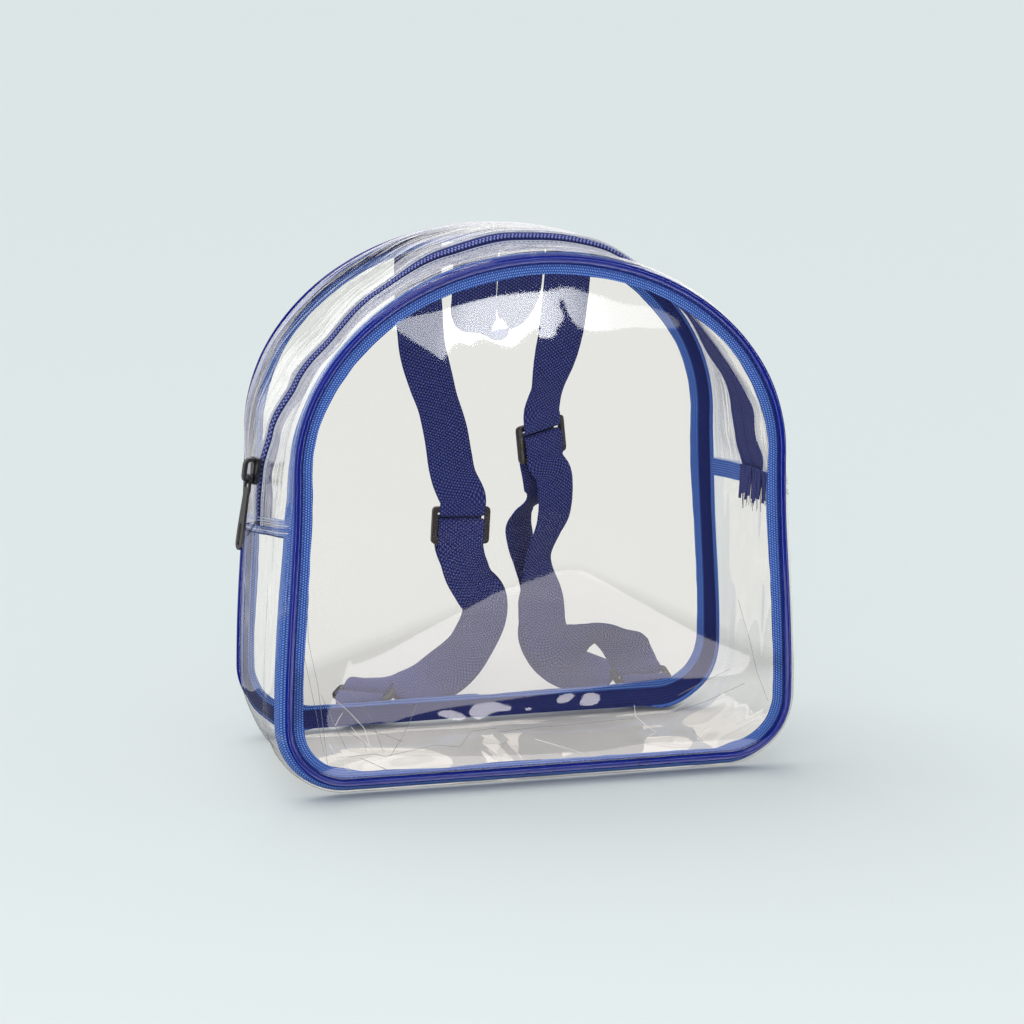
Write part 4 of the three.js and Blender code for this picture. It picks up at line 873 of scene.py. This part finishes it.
def catmull(frames, step):
    """Points and widths at an even step along a smooth curve through the frames."""
    P = np.array([f[0] for f in frames])
    Wd = np.array([f[1] for f in frames])
    n = len(P)
    t = np.concatenate([[0], np.cumsum(np.sqrt(np.linalg.norm(np.diff(P, axis=0), axis=1)) + 1e-6)])

    def tangents(A):
        m = np.zeros_like(A)
        for i in range(1, n - 1):
            h0, h1 = t[i] - t[i - 1], t[i + 1] - t[i]
            m[i] = ((A[i] - A[i - 1]) / h0 * h1 + (A[i + 1] - A[i]) / h1 * h0) / (h0 + h1)
        m[0] = (A[1] - A[0]) / (t[1] - t[0])
        m[-1] = (A[-1] - A[-2]) / (t[-1] - t[-2])
        return m

    mp, mw = tangents(P), tangents(Wd)
    out_p, out_w = [], []
    for i in range(n - 1):
        h = t[i + 1] - t[i]
        k = max(2, int(np.linalg.norm(P[i + 1] - P[i]) / step) + 1)
        for q in np.linspace(0, 1, k, endpoint=False):
            a, b, c, d = 2 * q**3 - 3 * q**2 + 1, q**3 - 2 * q**2 + q, -2 * q**3 + 3 * q**2, q**3 - q**2
            out_p.append(a * P[i] + b * h * mp[i] + c * P[i + 1] + d * h * mp[i + 1])
            out_w.append(a * Wd[i] + b * h * mw[i] + c * Wd[i + 1] + d * h * mw[i + 1])
    out_p.append(P[-1])
    out_w.append(Wd[-1])
    return np.array(out_p), np.array(out_w)


def webbing(name, frames, width, thick, seed, sewn_start=False, sewn_end=False, step=1.2, raw=None):
    p, w = catmull(frames, step)
    t = np.gradient(p, axis=0)
    t /= np.linalg.norm(t, axis=1)[:, None]
    keep = np.zeros(len(p))
    if sewn_start:
        keep[:4] = [1, 0.75, 0.5, 0.25]
    if sewn_end:
        keep[-4:] = [0.25, 0.5, 0.75, 1]
    if raw is not None:
        keep[:] = raw
    wo = w - (np.sum(w * t, 1) * (1 - keep))[:, None] * t
    wo /= np.linalg.norm(wo, axis=1)[:, None]
    n = np.cross(t, wo)
    n /= np.linalg.norm(n, axis=1)[:, None]
    s = np.concatenate([[0], np.cumsum(np.linalg.norm(np.diff(p, axis=0), axis=1))])
    cols = np.array([-1, -0.985, -0.94, -0.8, -0.6, -0.4, -0.2, 0, 0.2, 0.4, 0.6, 0.8, 0.94, 0.985, 1])
    prof = thick / 2 * np.sqrt(np.clip(1 - np.abs(cols) ** 14, 0.02, 1))
    cup = 0.25 * waves(s / 22, s * 0, seed)
    edge = width / 2 + 0.12 * waves(s / 3, s * 0, seed + 1)
    top, bot = [], []
    for c, h in zip(cols, prof):
        mid = p + wo * (c * edge)[:, None] + n * (cup * (c * c - 0.4))[:, None]
        top.append(mid + n * h)
        bot.append(mid - n * h)
    P = np.stack(top + bot[::-1], 1)
    uu = np.concatenate([cols, cols[::-1]]) * width / 2 / 1000
    uv = np.stack([np.broadcast_to(uu[None], P.shape[:2]), np.broadcast_to(s[:, None] / 1000, P.shape[:2])], -1)
    m, k = P.shape[:2]
    faces = grid_faces(m, k, False, True)
    for base, rev in ((0, False), ((m - 1) * k, True)):
        for j in range(k // 2 - 1):
            q = (base + j, base + j + 1, base + k - 2 - j, base + k - 1 - j)
            faces.append(q[::-1] if rev else q)
    verts = P.reshape(-1, 3)
    ob = new_mesh(name, verts, faces, web_mat, uv.reshape(-1, 2), smooth=60)
    if raw is None or True:
        vol = 0.0
    return ob, p, wo, n, s


def local_frame(c, lean, yaw, pitch=0.0):
    a = across(lean, yaw)
    up = np.array([0, math.sin(math.radians(pitch)), math.cos(math.radians(pitch))])
    h = up - a * (up @ a)
    h /= np.linalg.norm(h)
    n = np.cross(h, a)
    c = np.array(c, float)
    return lambda hh, nn: (c + h * hh + n * nn, a.copy())


THREAD_DOWN = [(17, -2.8), (12.5, -2.8), (9.6, -2.8), (7.3, -2.5), (6.4, -0.6), (6.3, 1.2), (5.4, 3.0), (3.4, 4.3), (0, 5.0), (-6, 5.1), (-13, 5.2)]
SEWN_END = [(-14, -2.9), (-8, -2.9), (1.2, -3.0), (2.9, -2.3), (3.7, 0), (2.9, 2.3), (1.2, 3.0), (-7.5, 3.0)]
ROUND_BAR = [(7, -3.7), (0, -3.4), (-2.4, -2.4), (-3.4, 0), (-2.4, 2.4), (0, 3.4), (7, 3.7)]
LEFT_UPPER = [
    (-38.5, 152.6, 307.6, 12, 0), (-38.4, 153.6, 300, 0, 0), (-38.0, 156.4, 286, 0, 0), (-36.6, 161, 268, 0, 0),
    (-34.4, 165, 250, 0, 2), (-32.5, 166.5, 236, -2, 4), (-28.4, 167, 221, -3, 6), (-22.5, 167.5, 202, -4, 18),
    (-17.6, 167.5, 184, -4, 10), (-12.6, 166, 155, -4, 6)]
LEFT_LOWER = [
    (-4.8, 165.5, 95, -4, 8), (2.0, 168.5, 82, -2, 16), (9.4, 171.5, 70.9, -6, 8), (9.6, 174.5, 59.7, -12, 0),
    (5.2, 177.5, 46.7, -24, 0), (-2.8, 180.5, 34, -38, -10), (-14.5, 182.5, 24.4, -52, -30), (-28.5, 185, 17.8, -52, -56),
    (-42.5, 188, 15.4, -36, -64), (-54.0, 189, 17.6, -8, -48)]
RIGHT_UPPER = [
    (58.3, 152.8, 301.6, -18, 0), (58.3, 153.6, 295, 0, 0), (58.3, 156.4, 283, 0, 0), (58.1, 161, 266, 0, 0),
    (56.4, 164, 244.7, 0, 4), (53.8, 165, 231.6, 0, 10), (50.9, 165.5, 219.8, 0, 20), (47.9, 166, 207, 2, 32)]
RIGHT_FRONT = [
    (52.0, 163.4, 154.6, 4, 26), (53.7, 163, 140.3, 4, 28), (52.5, 164, 125.8, -2, 31), (48.5, 166, 113.9, -6, 38),
    (44.1, 170, 97.5, -6, 42), (44.8, 172, 84, 0, 30), (47.6, 174.5, 67.3, 4, -4), (49.5, 177, 52.5, 18, -10),
    (54.0, 179.5, 41.5, 44, -8), (61.5, 181.5, 36.5, 68, -4), (69.5, 182.5, 37, 84, -16), (77.5, 183.5, 39, 94, -30),
    (85.5, 184.5, 41.2, 98, -44), (93.5, 185.5, 41, 86, -52), (101, 186.5, 37, 62, -44), (108, 187.5, 31.5, 34, -20),
    (112.6, 188, 25.6, 12, -2)]
RIGHT_REAR = [
    (45.6, 173, 140, 5, 32), (36.6, 176, 129, 10, 42), (33.4, 178, 120.6, 4, 42), (35.0, 179, 108.7, 0, 42),
    (38.8, 180, 95.4, 0, 46), (42.6, 182, 82, 2, 48), (46.4, 185.5, 63.6, 8, 34), (49.5, 190, 45.4, 22, 16),
    (57.5, 194.5, 30.5, 44, 6), (69, 198, 19.5, 60, 12), (84, 199.5, 13.4, 60, 38), (101.5, 197.8, 9.6, 30, 38)]
slide_l, slide_r = local_frame((-7.6, 167.5, 123), -3, 3), local_frame((44.9, 167.5, 176), 8, 25)
ring_l, ring_r = local_frame((-69.5, 172.2, 15.5), 0, -32, 84), local_frame((113, 168, 17.2), 0, 0, 78)
BAR = 7.5


def shifted(frames, off, slip):
    out = []
    for i, (p, w) in enumerate(frames):
        t = frames[min(i + 1, len(frames) - 1)][0] - frames[max(i - 1, 0)][0]
        t = t / np.linalg.norm(t)
        a = w - t * (w @ t)
        a /= np.linalg.norm(a)
        n = np.cross(t, a)
        out.append((p - n * off + a * slip, w))
    return out


def strap_frames(upper, slide, rear, front, ring):
    down = [slide(h, n) for h, n in THREAD_DOWN]
    sewn = [slide(h, n) for h, n in SEWN_END]
    bar = [ring(BAR + s, -k) for s, k in ROUND_BAR]
    return upper + down + rear + bar + front[::-1] + sewn


left_front, right_front = rows(LEFT_LOWER), rows(RIGHT_FRONT)
strap_left, pl, wl, nl, sl = webbing("webbing_strap_left", strap_frames(rows(LEFT_UPPER), slide_l, shifted(left_front, 5.2, 1.5), left_front, ring_l), 30, 1.4, 101, sewn_start=True)
strap_right, pr, wr, nr, sr = webbing("webbing_strap_right", strap_frames(rows(RIGHT_UPPER), slide_r, rows(RIGHT_REAR), right_front, ring_r), 30, 1.4, 111, sewn_start=True)


def tab(name, ring, x, seed):
    turn = [ring(-BAR - s, -k) for s, k in ROUND_BAR[1:-1]]
    e = np.array([1.0, 0, 0])
    foot = lambda y, z: (np.array([x, y, z], float), e)
    frames = [foot(155.8, 7.6), foot(155.9, 10.5)] + turn + [foot(153.4, 16.0), foot(153.1, 11.5), foot(153.4, 7.6)]
    p, _ = catmull(frames, 0.8)
    d = np.minimum(np.abs(np.arange(len(p))), np.abs(len(p) - 1 - np.arange(len(p))))
    mid = (np.abs(p[:, 1] - 156) > 6).astype(float)
    return webbing(name, frames, 30, 1.4, seed, step=0.8, raw=1 - mid)[0]


tab_left = tab("webbing_tab_left", ring_l, -77, 121)
tab_right = tab("webbing_tab_right", ring_r, 113, 122)
HANDLE = [
    (-1.4, 152.6, 311.6, 0, 0), (-1.4, 153.6, 303, 0, 0), (-1.2, 156.6, 287, 0, 0), (-0.6, 162.2, 266, -4, -4),
    (1.6, 168.4, 252, -12, -30), (7.0, 169.5, 244.6, -18, -66), (14.5, 170.5, 242.8, 0, -90), (22.0, 169.5, 245.6, 198, -66),
    (27.4, 168.4, 254, 192, -30), (27.9, 162.2, 268, 184, -4), (28.2, 156.6, 287, 180, 0), (28.2, 153.6, 301, 180, 0),
    (28.2, 152.6, 309.2, 171, 0)]
handle = webbing("webbing_handle", rows(HANDLE), 28.6, 1.4, 131, sewn_start=True, sewn_end=True)[0]

# Stitching on the straps: sewn-down ends below the tri-glides and box stitches at the top seam.
strap_stitch = []


def cross_stitch(p, w, n, s, at, side=-1, half=13.5, off=0.78):
    i = int(np.searchsorted(s, at))
    i = min(max(i, 1), len(p) - 2)
    q = np.linspace(-half, half, 24)
    line = p[i] + w[i] * q[:, None] + n[i] * (side * off)
    return dashes(line, 2.6, 1.7)


for (p, w, n, s) in ((pl, wl, nl, sl), (pr, wr, nr, sr)):
    total = s[-1]
    for at in (total - 17, total - 14):
        for side in (-1, 1):
            strap_stitch += cross_stitch(p, w, n, s, at, side)
    for at in (12, 16):
        for side in (-1, 1):
            strap_stitch += cross_stitch(p, w, n, s, at, side)
strap_stitches = wires("strap_stitches", strap_stitch, 0.16, blue_thread, 5)

# ------------------------------------------------------------------ fold marks in the clear sheets: painted crease shade and painted glints
def on_front(x, z, off=0.25):
    k = np.clip(np.hypot(x / 150, (z - 160) / 150), 0, 0.98)
    return np.stack([x, -(panel_bulge(x, z, k, True) + off), z], -1)


def front_fold(points):
    pts = np.array(points, float)
    d = np.concatenate([[0], np.cumsum(np.hypot(*np.diff(pts, axis=0).T))])
    t = np.linspace(0, d[-1], 30)
    return on_front(np.interp(t, d, pts[:, 0]), np.interp(t, d, pts[:, 1]))


# Painted crease shade (grey) and painted glints (white) along the fold marks of the front panel and the sheet behind
# it: (x, z) along each mark, mm.
CREASE_SHADE_FOLDS = [
    [(-142.1, 122.2), (-141.7, 96.5), (-136.2, 70.4), (-132.2, 35.8), (-130.3, 19.2)], [(-144.7, 90.7), (-137.3, 53.6), (-134.4, 35.9), (-130.9, 22.9)],
    [(-134.2, 64.3), (-126.0, 45.0), (-119.5, 30.6)], [(-125.4, 45.6), (-108.7, 34.1), (-107.5, 28.6)], [(-108.7, 42.0), (-96.1, 37.5), (-85.2, 32.5)],
    [(-123.7, 25.5), (-102.1, 26.4), (-94.9, 24.0)], [(-94.9, 24.6), (-65.9, 29.3), (-50.7, 27.0), (-44.0, 36.3), (-28.8, 37.1)], [(-111.1, 24.6), (-94.9, 16.1)],
    [(-26.9, 34.5), (-9.1, 35.7), (20.5, 36.2), (56.5, 37.4)], [(120.6, 106.7), (122.7, 99.5), (128.1, 82.9), (133.6, 60.8), (141.0, 42.4)],
    [(81.6, 39.4), (102.2, 44.9), (126.1, 54.5)], [(83.9, 49.8), (102.0, 57.9), (116.4, 63.8)], [(93.7, 27.4), (96.3, 23.5), (100.1, 20.1)],
    [(-75.6, 58.0), (-84.6, 37.3), (-92.5, 25.1)], [(-117.5, 66.8), (-104.5, 47.8), (-97.3, 27.8)]]
CREASE_GLINT_FOLDS = [
    [(-127.7, 62.6), (-117.0, 52.3), (-108.7, 42.6), (-104.5, 28.3)], [(-126.1, 24.4), (-120.8, 19.2), (-117.4, 16.9)], [(-111.1, 33.7), (-108.1, 31.0), (-109.9, 28.7)],
    [(-126.0, 45.0), (-123.6, 49.7), (-121.5, 52.6)], [(-4.5, 28.7), (20.6, 19.5), (27.5, 16.5)], [(56.4, 45.5), (57.5, 38.6), (64.7, 31.9), (71.1, 27.7), (66.1, 25.9)],
    [(125.4, 24.0), (132.0, 29.1), (136.0, 25.1)], [(-129.6, 34.4), (-124.9, 26.1), (-116.6, 17.2)], [(-104.5, 30.8), (-110.5, 36.1), (-116.4, 43.8)],
    [(97.6, 20.3), (100.1, 25.7), (105.1, 27.9)]]
crease_shade_wires = wires("painted_crease_shade_marks", [front_fold(f) for f in CREASE_SHADE_FOLDS], 0.17, crease_shade_mat, 4)
crease_glint_wires = wires("painted_crease_glint_marks", [front_fold(f) for f in CREASE_GLINT_FOLDS], 0.22, crease_glint_mat, 4)

# ------------------------------------------------------------------ CAD pieces that stay, with eased edges
for name, mat, bevel in (("zip_slider", metal, 0.00045), ("zip_puller", metal, 0.00035), ("tri_glide_left", plastic, 0.0005),
                         ("tri_glide_right", plastic, 0.0005), ("ring_left", plastic, 0.0006), ("ring_right", plastic, 0.0006)):
    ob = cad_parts[name]
    ob.data.materials.clear()
    ob.data.materials.append(mat)
    b = ob.modifiers.new("eased", "BEVEL")
    b.width, b.segments, b.limit_method, b.angle_limit = bevel, 3, "ANGLE", math.radians(32)
    b.harden_normals = False
    ob.data.polygons.foreach_set("use_smooth", [True] * len(ob.data.polygons))
    ob.data.set_sharp_from_angle(angle=math.radians(40))

# ------------------------------------------------------------------ what rides and what is replaced
PAIRS = [
    (front_panel, "front_panel", "clear_sheet"), (back_panel, "back_panel", "clear_sheet"), (gusset_bottom, "gusset_bottom", "clear_sheet"),
    (gusset_front, "gusset_top_front", "clear_sheet"), (gusset_back, "gusset_top_back", "clear_sheet"), (hems, None, "clear_sheet"), (crease_shade_wires, None, "clear_sheet"), (crease_glint_wires, None, "clear_sheet"),
    (pipe_front, "piping_front", "piping"), (pipe_back, "piping_back", "piping"), (cord_joints, None, "piping"),
    (bind_front, "binding_front", "woven_tape"), (bind_back, "binding_back", "woven_tape"), (bind_stitch, None, "woven_tape"),
    (zip_front, "zip_tape_front", "zip_tape"), (zip_back, "zip_tape_back", "zip_tape"), (coil, "zip_coil", "zip_coil"), (zip_stitch, None, "zip_tape"),
    (seam_right, "seam_tape_right", "woven_tape"), (seam_left, "seam_tape_left", "woven_tape"), (seam_stitch_pale, None, "woven_tape"),
    (seam_stitch_dark, None, "woven_tape"), (zip_end_right, None, "zip_tape"), (fray_right, None, "zip_tape"),
    (thread_ends, None, "zip_tape"), (strap_left, "strap_left", "webbing"), (strap_right, "strap_right", "webbing"),
    (tab_left, "ring_tab_left", "webbing"), (tab_right, "ring_tab_right", "webbing"), (handle, "grab_handle", "webbing"), (strap_stitches, None, "webbing"),
]
for ob, node, slot in PAIRS:
    if node:
        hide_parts(node)
    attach(ob, "bag")

# ------------------------------------------------------------------ stage
def stage_mesh(name, verts, faces, mat):
    me = bpy.data.meshes.new(name)
    me.from_pydata(verts, [], faces)
    ob = bpy.data.objects.new(name, me)
    bpy.context.collection.objects.link(ob)
    me.materials.append(mat)
    return ob


def plain(name, color, rough=0.9):
    M = Mat(name)
    return M.done(M.principled(color, rough, Specular_IOR_Level=0.0))


floor_mat = plain("floor", rgb(0.640, 0.690, 0.690))
B = 14.0
floor = stage_mesh("floor", [(-B, -B, 0), (B, -B, 0), (B, B, 0), (-B, B, 0)], [(0, 1, 2, 3)], floor_mat)
floor.visible_glossy = False

world = bpy.data.worlds.new("studio")
bpy.context.scene.world = world
world.use_nodes = True
bg = world.node_tree.nodes["Background"]
bg.inputs[0].default_value = (0.93, 0.955, 0.97, 1)
bg.inputs[1].default_value = 0.80
world.cycles_visibility.glossy = False


def glow(name, color, strength, uneven=0.0, scale=3.0):
    M = Mat(name)
    e = M.node("ShaderNodeEmission")
    e.inputs[0].default_value = color
    e.inputs[1].default_value = strength
    if uneven:
        v = M.noise(M.coords(), scale, 2.0, 0.5, 0.4)
        M.put(e.inputs[1], M.math("MULTIPLY", M.math("MULTIPLY_ADD", v, 2.0 * uneven, 1 - uneven), strength))
    return M.done(e.outputs[0])


def only_glossy(ob):
    ob.visible_camera = ob.visible_diffuse = ob.visible_transmission = ob.visible_volume_scatter = ob.visible_shadow = False
    ob.visible_glossy = True


def card(name, centre, to, width, height, strength, color=(1, 1, 1, 1)):
    """A light card seen only in reflections."""
    c, t = Vector(centre), Vector(to)
    d = (t - c).normalized()
    right = d.cross(Vector((0, 0, 1)))
    right = right.normalized() if right.length > 1e-4 else Vector((1, 0, 0))
    up = right.cross(d)
    v = [c + right * (sx * width / 2) + up * (sz * height / 2) for sx, sz in ((-1, -1), (1, -1), (1, 1), (-1, 1))]
    ob = stage_mesh(name, [tuple(q) for q in v], [(0, 1, 2, 3)], glow(name, color, strength))
    only_glossy(ob)
    return ob


def rounded(points, steps=5):
    """The same closed outline with its corners run smooth."""
    P = np.array(points, float)
    out = []
    for i in range(len(P)):
        a, b, c, d = P[i - 1], P[i], P[(i + 1) % len(P)], P[(i + 2) % len(P)]
        for t in np.linspace(0, 1, steps, endpoint=False):
            out.append(0.5 * (2 * b + (c - a) * t + (2 * a - 5 * b + 4 * c - d) * t * t + (3 * b - a - 3 * c + d) * t ** 3))
    return [tuple(q) for q in out]


def flat_card(name, points, plane, at, color, strength, uneven=0.0, scale=3.0):
    """A light card of free outline, points in mm: lying at height at, or standing at depth at."""
    points = rounded(points)
    row = [(a, b, at) if plane == "lying" else (a, at, b) for a, b in points]
    ob = stage_mesh(name, [tuple(q) for q in place(row)], [tuple(range(len(row)))], glow(name, color, strength, uneven, scale))
    only_glossy(ob)
    return ob


# What the glossy surfaces mirror: a pale table top behind the bag, bright strips on the back wall,
# a soft box overhead, and in front a window shape, a pale table edge and a ring of light.
table = stage_mesh("mirrored_table", [(-1.6, 0.16, -0.002), (1.6, 0.16, -0.002), (1.6, 3.0, -0.002), (-1.6, 3.0, -0.002)], [(0, 1, 2, 3)], glow("mirrored_table", (0.96, 0.96, 0.97, 1), 0.75, 0.9, 7.0))
only_glossy(table)
for i, (z0, z1, light) in enumerate(((0.20, 0.42, 1.0), (0.46, 0.60, 1.5), (0.62, 0.76, 0.8), (0.78, 0.95, 1.7), (1.02, 1.12, 1.3), (1.16, 1.42, 1.6), (1.55, 1.90, 1.2))):
    card("mirrored_back_strip_%d" % i, (0, 3.2, (z0 + z1) / 2), (0, 0, (z0 + z1) / 2), 5.0, z1 - z0, light)
card("mirrored_back_wall", (0, 3.35, 1.0), (0, 0, 1.0), 6.5, 2.4, 0.95)
card("mirrored_soft_box", (-0.5, 0.0, 1.9), (0, 0.0, 0), 1.7, 1.2, 2.6)
for i, (y0, wide, light) in enumerate(((-0.9, 0.10, 2.5), (-0.35, 0.22, 0.8), (0.2, 0.08, 3.0), (0.75, 0.30, 1.0), (1.3, 0.10, 2.5))):
    card("mirrored_left_strip_%d" % i, (-2.6, y0, 0.7), (0, y0, 0.7), wide, 2.0, light)
for i, (y0, wide, light) in enumerate(((-0.6, 0.12, 1.6), (0.1, 0.25, 0.6), (0.9, 0.10, 2.0))):
    card("mirrored_right_strip_%d" % i, (2.6, y0, 0.7), (0, y0, 0.7), wide, 2.0, light)
WINDOW = [
    (0.6, 229.8), (4.0, 236.5), (19.3, 239.8), (46.6, 239.4), (73.4, 242.5), (98.5, 248.0), (122.4, 250.5), (140.6, 252.8), (157.2, 257.5), (173.9, 255.9),
    (187.3, 255.3), (209.6, 250.7), (239.5, 244.0), (263.1, 229.4), (267.9, 218.2), (250.2, 219.3), (204.3, 213.3), (179.8, 213.1), (164.5, 216.3), (156.8, 223.1),
    (152.2, 233.7), (150.8, 246.7), (148.1, 246.3), (147.1, 237.7), (149.5, 227.8), (144.4, 218.5), (141.0, 210.8), (129.2, 210.4), (131.2, 219.8), (119.2, 212.0),
    (105.4, 200.6), (95.3, 201.0), (86.6, 203.8), (80.4, 202.3), (76.0, 198.1), (66.2, 198.5), (55.9, 184.7), (52.0, 184.1), (31.6, 200.9), (6.1, 225.8)]
TABLE_FAR = [
    (-69.2, -313.4), (-66.0, -308.2), (-51.5, -317.3), (-26.4, -337.7), (3.1, -361.9), (31.4, -383.0), (62.2, -405.1), (97.5, -433.6), (130.6, -461.3),
    (162.9, -488.5), (186.9, -488.2), (195.8, -461.2), (202.0, -435.6), (208.7, -404.2), (215.9, -363.3), (221.6, -315.3), (228.6, -260.6), (233.4, -246.5),
    (221.4, -222.2), (201.8, -197.4), (179.8, -191.7), (157.4, -190.7), (135.7, -189.8), (116.9, -187.9), (98.4, -184.9), (77.9, -178.8), (57.9, -171.5),
    (39.5, -165.6), (20.7, -160.7), (0.6, -155.6), (-19.7, -151.1), (-40.5, -142.1), (-60.3, -135.5), (-68.0, -146.6), (-85.3, -152.6), (-102.6, -156.6)]
TABLE_NEAR = [(-137.8, -45.3), (-82.7, -70.9), (-22.7, -62.1), (53.9, -58.8), (118.7, -61.0), (162.4, -54.6), (160.0, -12.0), (-150.0, -12.0)]
GLINTS = [
    [(-28.5, -139.6), (-22.6, -147.1), (-15.5, -143.7), (-11.1, -133.0), (-17.7, -126.1), (-25.1, -131.3)],
    [(-7.1, -140.4), (2.4, -157.3), (12.4, -162.1), (18.3, -155.3), (22.7, -146.7), (19.2, -139.2), (10.0, -138.3), (2.5, -131.2), (-4.5, -126.1), (-6.2, -130.3)],
    [(29.8, -141.6), (33.1, -144.1), (33.8, -140.0), (30.5, -137.5)],
    [(53.7, -158.5), (60.6, -168.2), (66.6, -170.1), (66.0, -163.8), (58.3, -151.9), (53.3, -150.3)],
    [(64.4, -145.0), (74.2, -167.6), (81.1, -171.5), (83.3, -164.7), (78.0, -150.0), (70.0, -140.2)]]
window_card = flat_card("mirrored_window", WINDOW, "standing", -500.0, (0.97, 0.99, 1.0, 1), 1.0)
# the window is brightest in its middle: (x m, brightness)
M = Mat("mirrored_window_glow")
sep = M.node("ShaderNodeSeparateXYZ")
M.put(sep.inputs[0], M.coords())
soft = M.ramp(M.math("MULTIPLY", sep.outputs[0], 3.0, clamp=True), [(0.0, rgb(0.46, 0.46, 0.46)), (0.16, rgb(0.50, 0.50, 0.50)), (0.24, rgb(0.95, 0.95, 0.95)), (0.42, rgb(1, 1, 1)), (0.50, rgb(0.58, 0.58, 0.58)), (0.60, rgb(0.26, 0.26, 0.26)), (0.8, rgb(0.18, 0.18, 0.18))])
e = M.node("ShaderNodeEmission")
e.inputs[0].default_value = (0.97, 0.99, 1.0, 1)
M.put(e.inputs[1], M.math("MULTIPLY", soft, 13.5))
window_card.data.materials.clear()
window_card.data.materials.append(M.done(e.outputs[0]))
flat_card("mirrored_table_far", TABLE_FAR, "lying", -1.0, (1.0, 0.96, 0.99, 1), 3.1, 0.25, 8.0)
flat_card("mirrored_table_near", TABLE_NEAR, "lying", -1.0, (1.0, 0.96, 0.99, 1), 2.6, 0.2, 12.0)
for i, points in enumerate(GLINTS):
    flat_card("mirrored_glint_%d" % i, points, "lying", -1.2, (0.98, 0.95, 1.0, 1), 7.5)

# A ring of light round the way the front mirrors, for the fine lines along the round cord.
axis = Vector((0.257, -0.944, -0.212)).normalized()
side = axis.cross(Vector((0, 0, 1))).normalized()
over = side.cross(axis)
ring_v, ring_f, turns = [], [], 72
for i in range(turns):
    a = 2 * math.pi * i / turns
    out = side * math.cos(a) + over * math.sin(a)
    for half in (math.radians(52), math.radians(57)):
        ring_v.append(tuple((axis * math.cos(half) + out * math.sin(half)) * 3.0 + Vector((0, 0, 0.16))))
    j = (i + 1) % turns
    ring_f.append((2 * i, 2 * i + 1, 2 * j + 1, 2 * j))
only_glossy(stage_mesh("mirrored_ring", ring_v, ring_f, glow("mirrored_ring", (0.9, 0.95, 1.0, 1), 16.0)))

sun = bpy.data.lights.new("key", "SUN")
sun.energy, sun.angle, sun.color = 1.35, math.radians(55), (1.0, 0.99, 0.97)
sun_ob = bpy.data.objects.new("key", sun)
bpy.context.collection.objects.link(sun_ob)
sun_ob.rotation_euler = (math.radians(-24), math.radians(-14), 0)
sun_ob.visible_glossy = False

fill = bpy.data.lights.new("front_fill", "AREA")
fill.energy, fill.size, fill.size_y, fill.shape = 9.0, 1.2, 0.8, "RECTANGLE"
fill_ob = bpy.data.objects.new("front_fill", fill)
bpy.context.collection.objects.link(fill_ob)
fill_ob.location = (-0.9, -1.9, 0.9)
fill_ob.rotation_euler = (Vector((0, 0, 0.15)) - Vector(fill_ob.location)).to_track_quat("-Z", "Y").to_euler()
fill_ob.visible_glossy = False
fill_ob.visible_camera = False

# ------------------------------------------------------------------ camera
cam = bpy.data.cameras.new("camera")
cam.sensor_width, cam.lens = 36.0, 124.66
cam_ob = bpy.data.objects.new("camera", cam)
bpy.context.collection.objects.link(cam_ob)
bpy.context.scene.camera = cam_ob
az, el, roll, dist = math.radians(-15.26), math.radians(12.23), math.radians(0.298), 2.0722
target = Vector(place((-19.6, 0, 157.8 + FOOT)))
back = Vector((math.sin(az) * math.cos(el), -math.cos(az) * math.cos(el), math.sin(el)))
right = Vector((math.cos(az), math.sin(az), 0))
up = back.cross(right)
r2 = right * math.cos(roll) + up * math.sin(roll)
u2 = up * math.cos(roll) - right * math.sin(roll)
cam_ob.matrix_world = (
    Matrix(((r2.x, u2.x, back.x, 0), (r2.y, u2.y, back.y, 0), (r2.z, u2.z, back.z, 0), (0, 0, 0, 1)))
)
cam_ob.location = target + back * dist
bpy.context.scene.view_settings.view_transform = "Standard"
bpy.context.scene.view_settings.look = "None"
